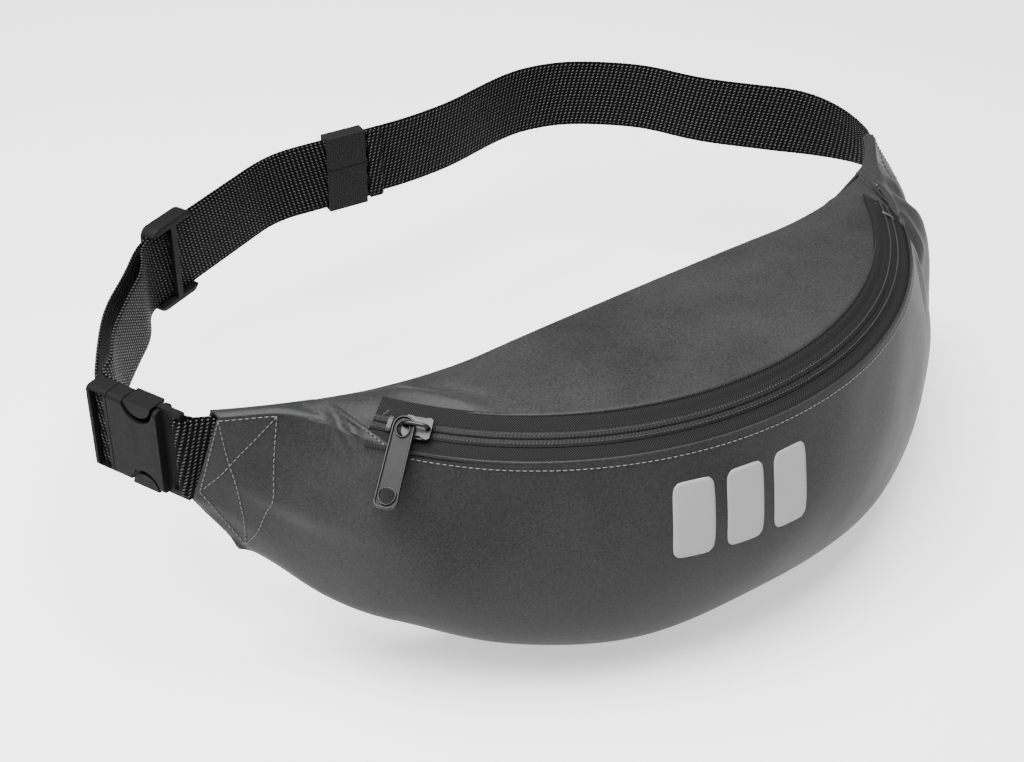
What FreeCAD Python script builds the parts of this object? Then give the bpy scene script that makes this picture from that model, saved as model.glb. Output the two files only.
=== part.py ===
import FreeCAD, Part
import math
import os

# Waist bag with a webbing belt. Millimetres. The origin is the middle of the loop that goes round the
# waist, at the belt's mid height. The bag hangs in front (-Y), +Z is up, +X is the wearer's left hand
# side seen from the front.

V = FreeCAD.Vector
UP = V(0, 0, 1)

DIMENSIONS = {
    # fabric shell
    "fabric_thick": 1.2,
    "seam_clearance": 0.4,
    "tip_span": 187.0,
    "tip_low_span": 194.6,
    "corner_span": 183.0,
    "wing_top": 20.0,
    "wing_corner_drop": 48.0,
    "wing_gap": 2.6,
    "zip_end_span": 148.0,
    "back_top": 25.0,
    "back_depth": 98.0,
    "back_flat_half": 80.0,
    "back_sweep": 36.0,
    "bottom_back_depth": 111.0,
    "bottom_back_drop": 90.0,
    "bulge_depth": 207.0,
    "bulge_drop": 41.0,
    "bottom_front_depth": 185.0,
    "bottom_front_drop": 83.0,
    "belly_drop": 11.5,
    "crown_rise": 30.5,
    "seam_arc": 171.7,
    "top_seam_arc": 154.3,
    # main zip, an arc in plan about a vertical axis
    "zip_centre_depth": 24.0,
    "zip_arc": 162.5,
    "zip_level": 21.5,
    "zip_half_angle": 60.5,
    "zip_slope": 32.9,
    "slider_rest_angle": 52.7,
    "tape_half_wide": 8.5,
    "tape_thick": 0.7,
    "coil_gap": 0.65,
    "coil_outer": 3.2,
    "coil_tall": 2.0,
    # rear pocket and its straight zip
    "rear_zip_half": 75.0,
    "rear_zip_level": 2.0,
    "rear_slot_wide": 14.0,
    "rear_tape_sink": 2.05,
    "rear_slider_rest": 64.0,
    "pouch_long": 164.0,
    "pouch_tall": 84.0,
    "pouch_deep": 8.0,
    "pouch_wall": 0.8,
    # zip slider and puller
    "slider_long": 12.5,
    "slider_wide": 9.6,
    "slider_plate": 1.25,
    "slider_under": 0.75,
    "slider_over": 2.75,
    "lip_wide": 1.1,
    "post_wide": 1.0,
    "bridge_pitch": 9.0,
    "bridge_wire": 1.8,
    "bridge_under": 6.4,
    "puller_level": 5.1,
    "puller_thick": 1.2,
    "puller_reach": 34.5,
    "puller_half_wide": 4.75,
    # webbing
    "webbing_wide": 37.0,
    "webbing_thick": 1.5,
    "layer_pitch": 2.0,
    # side release buckle
    "buckle_thick": 10.5,
    "buckle_half_wide": 20.4,
    "female_long": 26.0,
    "tail_end": 36.0,
    "tail_half_wide": 21.5,
    "tail_thick": 2.8,
    "cavity_deep": 23.5,
    "cavity_half_wide": 17.6,
    "cavity_thick": 7.2,
    "slot_half_wide": 18.9,
    "window_place": 16.0,
    "window_round": 8.2,
    "male_long": 10.6,
    "shoulder_gap": 0.4,
    "arm_thick": 5.6,
    "button_round": 7.0,
    "button_thick": 9.5,
    "button_centre": 21.6,
    "arm_root": 14.2,
    # tri-glide and keeper
    "glide_half_long": 14.0,
    "glide_half_wide": 22.0,
    "glide_half_thick": 4.4,
    "glide_half_gap": 2.0,
    "glide_bar": 2.8,
    "glide_centre_bar": 3.4,
    "keeper_long": 21.0,
    "keeper_wall": 1.4,
    "keeper_half_gap": 2.1,
}

doc = FreeCAD.newDocument("WaistBag")
sheet = doc.addObject("Spreadsheet::Sheet", "Sizes")
for row, (alias, value) in enumerate(DIMENSIONS.items(), start=1):
    sheet.set(f"A{row}", alias)
    sheet.set(f"B{row}", str(value))
    sheet.setAlias(f"B{row}", alias)
doc.recompute()

nodes = []


def size(alias):
    return float(getattr(sheet, alias))


def frame_placement(origin, x_axis, y_axis, z_axis):
    turn = FreeCAD.Rotation(x_axis, y_axis, z_axis, "ZXY")
    return FreeCAD.Placement(origin, turn)


# ---------------------------------------------------------------- document helpers

def new_body(label, placement=FreeCAD.Placement()):
    body = doc.addObject("PartDesign::Body", label)
    body.Label = label
    body.Placement = placement
    nodes.append(body)
    return body


def add_sketch(body, curves, role="XY_Plane"):
    sketch = body.newObject("Sketcher::SketchObject", body.Label + "_sketch")
    plane = next(item for item in body.Origin.OriginFeatures if item.Role == role)
    sketch.AttachmentSupport = [(plane, "")]
    sketch.MapMode = "FlatFace"
    for curve in curves:
        sketch.addGeometry(curve, False)
    return sketch


def add_pad(body, sketch, thickness, start=None):
    pad = body.newObject("PartDesign::Pad", body.Label + "_pad")
    pad.Profile = sketch
    pad.setExpression("Length", thickness)
    if start is None:
        pad.SideType = "Symmetric"
    else:
        sketch.setExpression("AttachmentOffset.Base.z", start)
    body.Tip = pad
    return pad


def add_pocket(body, sketch, depth, start=None, flip=False):
    doc.recompute()
    before = body.Shape.Volume
    pocket = body.newObject("PartDesign::Pocket", body.Label + "_pocket")
    pocket.Profile = sketch
    pocket.setExpression("Length", depth)
    if start is None:
        pocket.SideType = "Symmetric"
    else:
        sketch.setExpression("AttachmentOffset.Base.z", start)
        pocket.Reversed = flip
    body.Tip = pocket
    doc.recompute()
    if body.Shape.Volume > before - 0.01:
        raise RuntimeError(body.Label + ": a pocket cuts nothing")
    return pocket


def soften(body, wanted, radius):
    """Fillet the edges of the body's tip that the test picks."""
    doc.recompute()
    tip = body.Tip
    names = [f"Edge{i}" for i, edge in enumerate(tip.Shape.Edges, start=1) if wanted(edge)]
    fillet = body.newObject("PartDesign::Fillet", body.Label + "_fillet")
    fillet.Base = (tip, names)
    fillet.Radius = radius
    body.Tip = fillet
    doc.recompute()
    return fillet


def keep_shape(label, shape):
    feature = doc.addObject("Part::Feature", label)
    feature.Label = label
    feature.Shape = shape
    feature.Placement = FreeCAD.Placement()
    nodes.append(feature)
    return feature


def polygon(points):
    corners = [V(x, y, 0) for x, y in points]
    return [Part.LineSegment(a, b) for a, b in zip(corners, corners[1:] + corners[:1])]


def rectangle(x_low, x_high, y_low, y_high):
    return polygon([(x_low, y_low), (x_high, y_low), (x_high, y_high), (x_low, y_high)])


def arc(centre, radius, start, end):
    circle = Part.Circle(V(centre[0], centre[1], 0), UP, radius)
    return Part.ArcOfCircle(circle, math.radians(start), math.radians(end))


def rounded_rectangle(half_x, half_y, radius):
    x, y = half_x - radius, half_y - radius
    sides = [
        Part.LineSegment(V(-x, -half_y, 0), V(x, -half_y, 0)),
        Part.LineSegment(V(half_x, -y, 0), V(half_x, y, 0)),
        Part.LineSegment(V(x, half_y, 0), V(-x, half_y, 0)),
        Part.LineSegment(V(-half_x, y, 0), V(-half_x, -y, 0)),
    ]
    corners = [
        arc((x, -y), radius, 270, 360),
        arc((x, y), radius, 0, 90),
        arc((-x, y), radius, 90, 180),
        arc((-x, -y), radius, 180, 270),
    ]
    return [piece for pair in zip(sides, corners) for piece in pair]


# ---------------------------------------------------------------- fabric shell

def back_line(x):
    """Distance behind the waist centre of the back panel's top edge and of the wings' mid surface."""
    beyond = max(0.0, abs(x) - size("back_flat_half"))
    return -size("back_depth") + size("back_sweep") * (beyond / 110.0) ** 1.8


def wing_share(x):
    """0 on the bag, 1 where the panels lie flat on the wing's webbing."""
    return min(1.0, max(0.0, (abs(x) - 126.0) / 20.0))


def bottom_seam(x):
    """Seam between the front and back panels along the bottom, at the back panel's outer face."""
    share = min(abs(x), 150.0) / 150.0
    y = -size("bottom_back_depth") + 11.0 * share ** 2.6
    z = -size("bottom_back_drop") + 41.0 * share ** 2.3
    settle = min(1.0, max(0.0, (abs(x) - 128.0) / 32.0))
    return y + settle * (back_line(x) - y), z


def front_outline(x):
    """Points from the zip seam, over the bulge and the belly, to the bottom seam."""
    reach = min(abs(x), size("zip_end_span"))
    seam = size("seam_arc")
    top = (-size("zip_centre_depth") - math.sqrt(seam ** 2 - reach ** 2), 17.5)
    share = (reach / 177.0) ** 2
    bulge = (-size("bulge_depth") + 96.0 * share, -size("bulge_drop") + 17.0 * share)
    near = (-size("bottom_front_depth") + 42.0 * (reach / 130.0) ** 2.8,
            -size("bottom_front_drop") + 13.0 * (reach / 130.0) ** 3)
    seam_y, seam_z = bottom_seam(reach)
    apart = size("seam_clearance") + wing_share(x) * 2 * size("wing_gap")
    end = (seam_y - size("fabric_thick") - apart, seam_z)
    sag = size("belly_drop") * (1 - (reach / 190.0) ** 2)
    belly = ((near[0] + end[0]) / 2, (near[1] + end[1]) / 2 - sag)
    shoulder = (top[0] + 0.66 * (bulge[0] - top[0]), top[1] + 0.48 * (bulge[1] - top[1]))
    return [top, shoulder, bulge, near, belly, end]


def front_section(x):
    """The outline closes elliptically onto the flat wing beyond the ends of the zip."""
    limit = size("zip_end_span")
    points = front_outline(x)
    if abs(x) <= limit:
        return points
    beyond = abs(x) - limit
    bulging = math.sqrt(1 - min(1.0, beyond / 38.0) ** 2)
    cover = size("wing_gap") + 1.6 * size("fabric_thick")
    top, low = size("wing_top"), -size("wing_corner_drop")
    heights = [top + (low - top) * part for part in (0.0, 0.17, 0.35, 0.78, 0.92, 1.0)]
    fullness = [max(0.0, 1 - beyond / 9.0)] + [bulging] * 4 + [0.0]
    start = back_line(limit) - cover
    flat = back_line(x) - cover
    section = [(flat + full * (y - start), height + full * (z - height))
               for (y, z), height, full in zip(points, heights, fullness)]
    seam_y, seam_z = bottom_seam(x)
    section[-1] = (seam_y - cover, seam_z)
    return section


def inward(points, distance, side):
    """Offset a section's points within its plane."""
    shifted = []
    for i, (y, z) in enumerate(points):
        before = points[max(i - 1, 0)]
        after = points[min(i + 1, len(points) - 1)]
        run = V(0, after[0] - before[0], after[1] - before[1]).normalize()
        normal = V(0, -run.z, run.y) * side
        shifted.append((y + distance * normal.y, z + distance * normal.z))
    return shifted


def section_wire(x, outer, inner):
    """Closed section of a panel in the plane at x, its two faces smoothed through their points."""
    def smooth(points):
        spline = Part.BSplineCurve()
        spline.interpolate([V(x, y, z) for y, z in points])
        return spline.discretize(10)

    corners = smooth(outer) + smooth(inner)[::-1]
    return Part.makePolygon(corners + corners[:1])


def loft_panel(wires):
    """Ruled loft with its faces turned outwards."""
    panel = Part.makeLoft(wires, True, True)
    if panel.Volume < 0:
        panel = Part.makeLoft(wires[::-1], True, True)
    return panel


def mirrored_stations(stations):
    return [-x for x in reversed(stations) if x > 0] + stations


def tip_cutter():
    """Everything beyond the wings' slanted ends, both sides."""
    span, low_span, corner = size("tip_span"), size("tip_low_span"), size("corner_span")
    top, drop = size("wing_top"), size("wing_corner_drop")
    middle = -size("webbing_wide") / 2 - 1
    outline = [(span - 2, top + 30), (span, top), (low_span, middle), (corner, -drop),
               (corner - 26, -drop - 12), (corner - 26, -drop - 60), (corner + 80, -drop - 60),
               (corner + 80, top + 30)]
    cutters = []
    for side in (1, -1):
        corners = [V(side * x, -300, z) for x, z in outline]
        face = Part.Face(Part.makePolygon(corners + corners[:1]))
        cutters.append(face.extrude(V(0, 400, 0)))
    return cutters[0].fuse(cutters[1])


def make_front_panel():
    wires = []
    for x in mirrored_stations([0, 25, 50, 75, 98, 118, 135, 148, 153, 158, 166, 174, 180, 184, 186, 198]):
        outer = front_section(x)
        inner = inward(outer, size("fabric_thick"), 1)
        wires.append(section_wire(x, outer, inner))
    keep_shape("front_panel", loft_panel(wires).cut(tip_cutter()))


def make_top_panel():
    """The lid between the back panel's top edge and the zip's upper seam."""
    wires = []
    for x in mirrored_stations([0, 25, 50, 75, 95, 115, 134]):
        back = (back_line(x) - size("fabric_thick") - size("seam_clearance"), 26.2)
        front = (-size("zip_centre_depth") - math.sqrt(size("top_seam_arc") ** 2 - x ** 2), 29.6)
        share = (back[0] - front[0]) / 80.0
        crown = ((back[0] + front[0]) / 2, 28.6 + (size("crown_rise") - 27.5) * share)
        outer = [back, crown, front]
        wires.append(section_wire(x, outer, inward(outer, size("fabric_thick"), 1)))
    keep_shape("top_panel", loft_panel(wires))


def back_plane():
    """Local frame of the back panel at the rear zip: along, down the panel, outwards."""
    seam_y, seam_z = bottom_seam(0)
    top = V(0, -size("back_depth"), size("back_top"))
    down = (V(0, seam_y, seam_z) - top).normalize()
    out = V(1, 0, 0).cross(down)
    origin = top + down * (size("back_top") - size("rear_zip_level"))
    return origin, V(1, 0, 0), down, out


def make_back_panel():
    wires = []
    thick, gap = size("fabric_thick"), size("wing_gap")
    for x in mirrored_stations([0, 80, 100, 115, 126, 136, 146, 153, 160, 172, 184, 198]):
        outer = wing_share(x) * (gap + thick)
        seam_y, seam_z = bottom_seam(x)
        top_z = size("back_top") - 5.0 * min(1.0, abs(x) / 150.0) ** 3
        top_y, low_y = back_line(x) + outer, seam_y + outer
        corners = [(top_y, top_z), (low_y, seam_z), (low_y - thick, seam_z), (top_y - thick, top_z)]
        points = [V(x, y, z) for y, z in corners]
        wires.append(Part.makePolygon(points + points[:1]))
    panel = loft_panel(wires).cut(tip_cutter())
    origin, along, down, out = back_plane()
    slot = Part.makeBox(2 * size("rear_zip_half"), size("rear_slot_wide"), 12)
    slot.translate(V(-size("rear_zip_half"), -size("rear_slot_wide") / 2, -6))
    slot.Placement = frame_placement(origin, along, down, out).multiply(slot.Placement)
    keep_shape("back_panel", panel.cut(slot))


def make_rear_pouch():
    origin, along, down, out = back_plane()
    long, tall, deep = size("pouch_long"), size("pouch_tall"), size("pouch_deep")
    wall = size("pouch_wall")
    outer = doc.addObject("Part::Box", "pouch_outside")
    outer.setExpression("Length", "Sizes.pouch_long")
    outer.setExpression("Width", "Sizes.pouch_tall")
    outer.setExpression("Height", "Sizes.pouch_deep")
    inner = doc.addObject("Part::Box", "pouch_inside")
    inner.setExpression("Length", "Sizes.pouch_long - 2 * Sizes.pouch_wall")
    inner.setExpression("Width", "Sizes.pouch_tall - 2 * Sizes.pouch_wall")
    inner.setExpression("Height", "Sizes.pouch_deep - 2 * Sizes.pouch_wall")
    mouth = doc.addObject("Part::Box", "pouch_mouth")
    mouth.setExpression("Length", "2 * Sizes.rear_zip_half - 4")
    mouth.setExpression("Width", "Sizes.rear_slot_wide - 2")
    mouth.setExpression("Height", "Sizes.pouch_deep")
    level = -4.6 - deep
    above = 12.0
    corner = V(-long / 2, -above, level)
    outer.Placement.Base = corner
    inner.Placement.Base = corner + V(wall, wall, wall)
    mouth.Placement.Base = V(-size("rear_zip_half") + 2, -size("rear_slot_wide") / 2 + 1, level + deep / 2)
    hollow = doc.addObject("Part::Cut", "pouch_hollow")
    hollow.Base = outer
    hollow.Tool = inner
    pouch = doc.addObject("Part::Cut", "rear_pocket_pouch")
    pouch.Label = "rear_pocket_pouch"
    pouch.Base = hollow
    pouch.Tool = mouth
    pouch.Placement = frame_placement(origin, along, down, out)
    nodes.append(pouch)


# ---------------------------------------------------------------- zips

def zip_frame(angle):
    """Frame on the main zip's arc: along the chain, down the slope, outwards; angle 0 faces front."""
    slope = math.radians(size("zip_slope"))
    turn = math.radians(angle)
    radial = V(math.sin(turn), -math.cos(turn), 0)
    down = radial * math.cos(slope) - UP * math.sin(slope)
    out = radial * math.sin(slope) + UP * math.cos(slope)
    origin = V(0, -size("zip_centre_depth"), size("zip_level")) + radial * size("zip_arc")
    return origin, down.cross(out), down, out


def strip_profile(near, far, low, high):
    """Corners of a zip strip across the slope, as radius and height about the arc's axis."""
    slope = math.radians(size("zip_slope"))
    across = (math.cos(slope), -math.sin(slope))
    out = (math.sin(slope), math.cos(slope))
    corners = [(near, low), (far, low), (far, high), (near, high)]
    return [(size("zip_arc") + w * across[0] + n * out[0], size("zip_level") + w * across[1] + n * out[1])
            for w, n in corners]


def make_arc_strip(label, near, far, low, high):
    axis_place = FreeCAD.Placement(V(0, -size("zip_centre_depth"), 0), FreeCAD.Rotation(UP, -90))
    body = new_body(label, axis_place)
    sketch = add_sketch(body, polygon(strip_profile(near, far, low, high)), "XZ_Plane")
    ring = body.newObject("PartDesign::Revolution", label + "_ring")
    ring.Profile = sketch
    ring.ReferenceAxis = (sketch, ["V_Axis"])
    ring.setExpression("Angle", "2 * Sizes.zip_half_angle")
    ring.Midplane = True
    body.Tip = ring


def make_straight_strip(label, near, far, low, high):
    origin, along, down, out = back_plane()
    body = new_body(label, frame_placement(origin - out * size("rear_tape_sink"), along, down, out))
    sketch = add_sketch(body, rectangle(near, far, low, high), "YZ_Plane")
    add_pad(body, sketch, "2 * Sizes.rear_zip_half - 4")


def make_zip_strips(prefix, maker):
    half_tape = size("tape_thick") / 2
    for name, side in (("upper", -1), ("lower", 1)):
        edges = sorted((side * size("coil_gap"), side * size("tape_half_wide")))
        maker(f"{prefix}_zip_tape_{name}", edges[0], edges[1], -half_tape, half_tape)
        edges = sorted((side * size("coil_gap"), side * size("coil_outer")))
        maker(f"{prefix}_zip_coil_{name}", edges[0], edges[1], half_tape, half_tape + size("coil_tall"))


def make_slider(label, frame):
    """Two plates and two lips round the coils, a divider post, and a bridge for the puller."""
    body = new_body(label, frame_placement(*frame))
    long, wide = size("slider_long") / 2, size("slider_wide") / 2
    plate, under, over = size("slider_plate"), size("slider_under"), size("slider_over")
    nose = 2.0
    outline = polygon([(-long, -wide + 1), (-long + 1, -wide), (long - nose, -wide), (long, -wide + nose),
                       (long, wide - nose), (long - nose, wide), (-long + 1, wide), (-long, wide - 1)])
    add_pad(body, add_sketch(body, outline), "Sizes.slider_plate", "Sizes.slider_over")
    outline = [curve.copy() for curve in outline]
    add_pad(body, add_sketch(body, outline), "Sizes.slider_plate",
            "0 - Sizes.slider_under - Sizes.slider_plate")
    post = rectangle(2.4, long - 1.2, -size("post_wide") / 2, size("post_wide") / 2)
    add_pad(body, add_sketch(body, post), "Sizes.slider_under + Sizes.slider_over", "0 - Sizes.slider_under")
    for side in (1, -1):
        edges = sorted((side * wide, side * (wide - size("lip_wide"))))
        lip = rectangle(-long + 1, long - nose, edges[0], edges[1])
        add_pad(body, add_sketch(body, lip), "Sizes.slider_over - Sizes.slider_under",
                "Sizes.slider_under")
    pitch, wire, rise = size("bridge_pitch") / 2, size("bridge_wire") / 2, size("bridge_under")
    for side in (1, -1):
        leg = [Part.Circle(V(side * pitch, 0, 0), UP, wire)]
        add_pad(body, add_sketch(body, leg), "Sizes.bridge_under - Sizes.slider_over - Sizes.slider_plate",
                "Sizes.slider_over + Sizes.slider_plate")
    bar = rounded_rectangle(pitch + wire, wire, 0.85)
    add_pad(body, add_sketch(body, bar), "Sizes.bridge_wire", "Sizes.bridge_under")
    soften(body, lambda edge: edge.BoundBox.ZMin > rise + 2 * wire - 0.01, 0.6)


def make_puller(label, frame, dip):
    """Flat metal tab with an eye round the bridge's leg and a D-shaped hole at the free end."""
    origin, along, down, out = frame
    lean = FreeCAD.Rotation(along, -dip)
    pivot = origin + along * (size("bridge_pitch") / 2) + out * size("puller_level")
    body = new_body(label, frame_placement(pivot, along, lean.multVec(down), lean.multVec(out)))
    half, reach, eye = size("puller_half_wide"), size("puller_reach"), 1.4
    tab = [
        arc((0, eye), 4.4, 180, 360),
        Part.LineSegment(V(4.4, eye, 0), V(half, reach - 2, 0)),
        Part.Arc(V(half, reach - 2, 0), V(0, reach, 0), V(-half, reach - 2, 0)),
        Part.LineSegment(V(-half, reach - 2, 0), V(-4.4, eye, 0)),
    ]
    add_pad(body, add_sketch(body, tab), "Sizes.puller_thick")
    eye_hole = [
        arc((0, eye), 2.6, 180, 360),
        Part.LineSegment(V(2.6, eye, 0), V(2.6, eye + 2, 0)),
        arc((0, eye + 2), 2.6, 0, 180),
        Part.LineSegment(V(-2.6, eye + 2, 0), V(-2.6, eye, 0)),
    ]
    add_pocket(body, add_sketch(body, eye_hole), "Sizes.puller_thick * 2")
    thumb = 3.4
    end_hole = [
        arc((0, reach - 5), thumb, 180, 360),
        Part.LineSegment(V(thumb, reach - 5, 0), V(thumb, reach - 3.2, 0)),
        Part.Arc(V(thumb, reach - 3.2, 0), V(0, reach - 1.6, 0), V(-thumb, reach - 3.2, 0)),
        Part.LineSegment(V(-thumb, reach - 3.2, 0), V(-thumb, reach - 5, 0)),
    ]
    add_pocket(body, add_sketch(body, end_hole), "Sizes.puller_thick * 2")


def make_main_zip():
    make_zip_strips("main", make_arc_strip)
    frame = zip_frame(-size("slider_rest_angle"))
    make_slider("main_zip_slider", frame)
    make_puller("main_zip_puller", frame, 5)
    for name, side in (("left", -1), ("right", 1)):
        stop = new_body(f"main_zip_stop_{name}", frame_placement(*zip_frame(side * 59.8)))
        shape = rectangle(-0.9, 0.9, -4, 4)
        add_pad(stop, add_sketch(stop, shape), "0.8", "Sizes.tape_thick / 2 + Sizes.coil_tall + 0.15")
        tab = new_body(f"zip_end_tab_{name}", frame_placement(*zip_frame(side * 62.8)))
        shape = rectangle(-2.4, 2.4, -8.0, 7.2)
        add_pad(tab, add_sketch(tab, shape), "Sizes.fabric_thick", "1.2")


def make_rear_zip():
    make_zip_strips("rear", make_straight_strip)
    origin, along, down, out = back_plane()
    base = origin - out * size("rear_tape_sink")
    frame = (base + along * size("rear_slider_rest"), along, down, out)
    make_slider("rear_zip_slider", frame)
    make_puller("rear_zip_puller", frame, 2)
    for name, side in (("left", -1), ("right", 1)):
        place = frame_placement(base + along * side * (size("rear_zip_half") - 3.2), along, down, out)
        stop = new_body(f"rear_zip_stop_{name}", place)
        add_pad(stop, add_sketch(stop, rectangle(-0.9, 0.9, -4, 4)), "0.8",
                "Sizes.tape_thick / 2 + Sizes.coil_tall + 0.15")


# ---------------------------------------------------------------- webbing

def strap_outline(points, radii, thickness):
    """Closed outline of a strap seen edge on: straight runs joined by tangent arcs, offset both ways."""
    corners = [V(x, y, 0) for x, y in points]
    sides = {1: [], -1: []}
    starts = {side: None for side in sides}
    for i in range(1, len(corners)):
        run = (corners[i] - corners[i - 1]).normalize()
        left = V(-run.y, run.x, 0)
        for side in sides:
            if starts[side] is None:
                starts[side] = corners[i - 1] + left * (side * thickness / 2)
        if i == len(corners) - 1:
            for side in sides:
                end = corners[i] + left * (side * thickness / 2)
                sides[side].append(Part.LineSegment(starts[side], end))
            break
        following = (corners[i + 1] - corners[i]).normalize()
        turn = math.atan2(run.cross(following).z, run.dot(following))
        before = (corners[i] - corners[i - 1]).Length
        after = (corners[i + 1] - corners[i]).Length
        radius = radii.get(i, 0.45 * min(before, after) / math.tan(abs(turn) / 2))
        reach = radius * math.tan(abs(turn) / 2)
        bend = 1 if turn > 0 else -1
        centre = corners[i] - run * reach + left * (bend * radius)
        for side in sides:
            offset = radius - side * bend * thickness / 2
            first = centre - left * (bend * offset)
            last = centre - V(-following.y, following.x, 0) * (bend * offset)
            middle = centre + (corners[i] - centre).normalize() * offset
            sides[side].append(Part.LineSegment(starts[side], first))
            sides[side].append(Part.Arc(first, middle, last))
            starts[side] = last
    ends = [(sides[1][0].StartPoint, sides[-1][0].StartPoint),
            (sides[1][-1].EndPoint, sides[-1][-1].EndPoint)]
    return sides[1] + sides[-1] + [Part.LineSegment(a, b) for a, b in ends]


def make_strap(label, points, radii=None):
    body = new_body(label)
    outline = strap_outline(points, radii or {}, size("webbing_thick"))
    add_pad(body, add_sketch(body, outline), "Sizes.webbing_wide")


# The buckle's frame: u along its axis towards the male end, v up, q towards the wearer.
SPLIT = V(-210.5, -24.0, 0)
BUCKLE_AXIS = V(-0.35, 0.9367, 0).normalize()
BUCKLE_IN = BUCKLE_AXIS.cross(UP)

# Belt hinge: the stretch of webbing behind the wearer's hip that bends when the buckle comes apart.
HINGE = V(131.3, 89.3, 0)


def on_buckle(u, q):
    point = SPLIT + BUCKLE_AXIS * u + BUCKLE_IN * q
    return point.x, point.y


def beside(point, runs, distance):
    """A corner between two runs of webbing, moved towards the wearer by the layers' distance."""
    normals = [V(-run[1], run[0], 0).normalize() for run in runs]
    bisector = (normals[0] + normals[-1]).normalize()
    shift = bisector * (distance / bisector.dot(normals[0]))
    return point[0] + shift.x, point[1] + shift.y


KEEPER_RUN = (-0.9918, 0.1279)
GLIDE_RUN = (-0.9311, -0.3647)
KEEPER_START = (12.0, 98.5)
CORNER = (-59.1, 107.7)
GLIDE_END = (-149.0, 72.4)
CORNER_ROUND = 50.0


def make_belt():
    wing_root = (165.0, back_line(165.0))
    tip = (198.0, back_line(198.0) - 0.6)
    near_hinge = (HINGE.x + 1.0, HINGE.y - 1.3)
    make_strap("belt_right", [wing_root, tip, (205.5, -34.0), (198.0, -2.0), (180.0, 20.0),
                              (160.0, 45.0), (149.0, 72.0), near_hinge], {1: 5.0})
    slot_a, slot_b, front = 8.0, 3.0, -2.7
    far_hinge = (HINGE.x - 1.3, HINGE.y + 1.0)
    make_strap("belt_back", [far_hinge, (116.0, 101.5), (92.0, 108.5), (68.0, 105.0), (42.0, 99.0),
                             KEEPER_START, CORNER, GLIDE_END, (-163.0, 55.0), (-186.0, 33.0),
                             (-201.0, 9.0), on_buckle(14.0, 4.2), on_buckle(slot_a, 3.3),
                             on_buckle(slot_a, front), on_buckle(5.5, front)],
               {5: 120.0, 6: CORNER_ROUND, 12: 0.9, 13: 0.9})
    pitch = size("layer_pitch")
    fold = (-1.0, 100.18)
    inner = [beside(GLIDE_END, [GLIDE_RUN], pitch), beside(CORNER, [GLIDE_RUN, KEEPER_RUN], pitch),
             beside(fold, [KEEPER_RUN], pitch)]
    hem = [beside(fold, [KEEPER_RUN], pitch + 1.8), beside((-8.0, 101.08), [KEEPER_RUN], pitch + 1.8)]
    make_strap("belt_return", [on_buckle(5.5, front), on_buckle(slot_b, front), on_buckle(slot_b, 6.2),
                               on_buckle(14.0, 7.2), (-200.5, -2.0), (-191.0, 15.0), (-176.0, 32.0),
                               (-157.0, 51.5)] + inner + hem,
               {1: 0.9, 2: 0.9, 9: CORNER_ROUND - pitch, 10: 0.88, 11: 0.88})


def make_buckle_webbing():
    """Short piece folded round the female buckle's bar, both ends sewn inside the left wing."""
    root, tip = -165.0, -194.0
    run = V(tip - root, back_line(tip) - back_line(root), 0).normalize()
    front = V(run.y, -run.x, 0)
    if front.y > 0:
        front = -front
    half = 0.95
    bar = on_buckle(-34.7, 0)
    centre = V(bar[0], bar[1], 0)
    tip_point = V(tip, back_line(tip), 0)
    root_point = V(root, back_line(root), 0)
    axis = (centre - tip_point).normalize()
    side = V(axis.y, -axis.x, 0)
    if side.y > 0:
        side = -side
    past, beyond, short = 2.7, 2.6, 0.6
    path = [root_point + front * half, tip_point + front * half,
            centre + side * past - axis * short, centre + side * past + axis * beyond,
            centre - side * past + axis * beyond, centre - side * past - axis * short,
            tip_point - front * half, root_point - front * half]
    make_strap("buckle_webbing", [(point.x, point.y) for point in path],
               {1: 3.0, 2: 2.5, 3: 2.0, 4: 2.0, 5: 2.5, 6: 3.0})


# ---------------------------------------------------------------- buckle, tri-glide, keeper

def along_buckle(edge):
    box = edge.BoundBox
    return box.YLength < 0.01 and box.ZLength < 0.01 and box.XLength > 5


def make_female_buckle():
    body = new_body("female_buckle", frame_placement(SPLIT, BUCKLE_AXIS, UP, BUCKLE_IN))
    wide, long = size("buckle_half_wide"), size("female_long")
    add_pad(body, add_sketch(body, rectangle(-long, 0, -wide, wide)), "Sizes.buckle_thick")
    soften(body, along_buckle, 2.4)
    tail = rectangle(-size("tail_end"), -long + 2, -size("tail_half_wide"), size("tail_half_wide"))
    add_pad(body, add_sketch(body, tail), "Sizes.tail_thick")
    slot = rectangle(-33.4, -28.6, -size("slot_half_wide"), size("slot_half_wide"))
    add_pocket(body, add_sketch(body, slot), "Sizes.buckle_thick * 2")
    half_cavity = size("cavity_thick") / 2
    cavity = rectangle(-size("cavity_half_wide"), size("cavity_half_wide"), -half_cavity, half_cavity)
    add_pocket(body, add_sketch(body, cavity, "YZ_Plane"), "Sizes.cavity_deep", "0")
    for side in (1, -1):
        window = [Part.Circle(V(-size("window_place"), side * wide, 0), UP, size("window_round"))]
        add_pocket(body, add_sketch(body, window), "Sizes.buckle_thick * 2")


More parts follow.
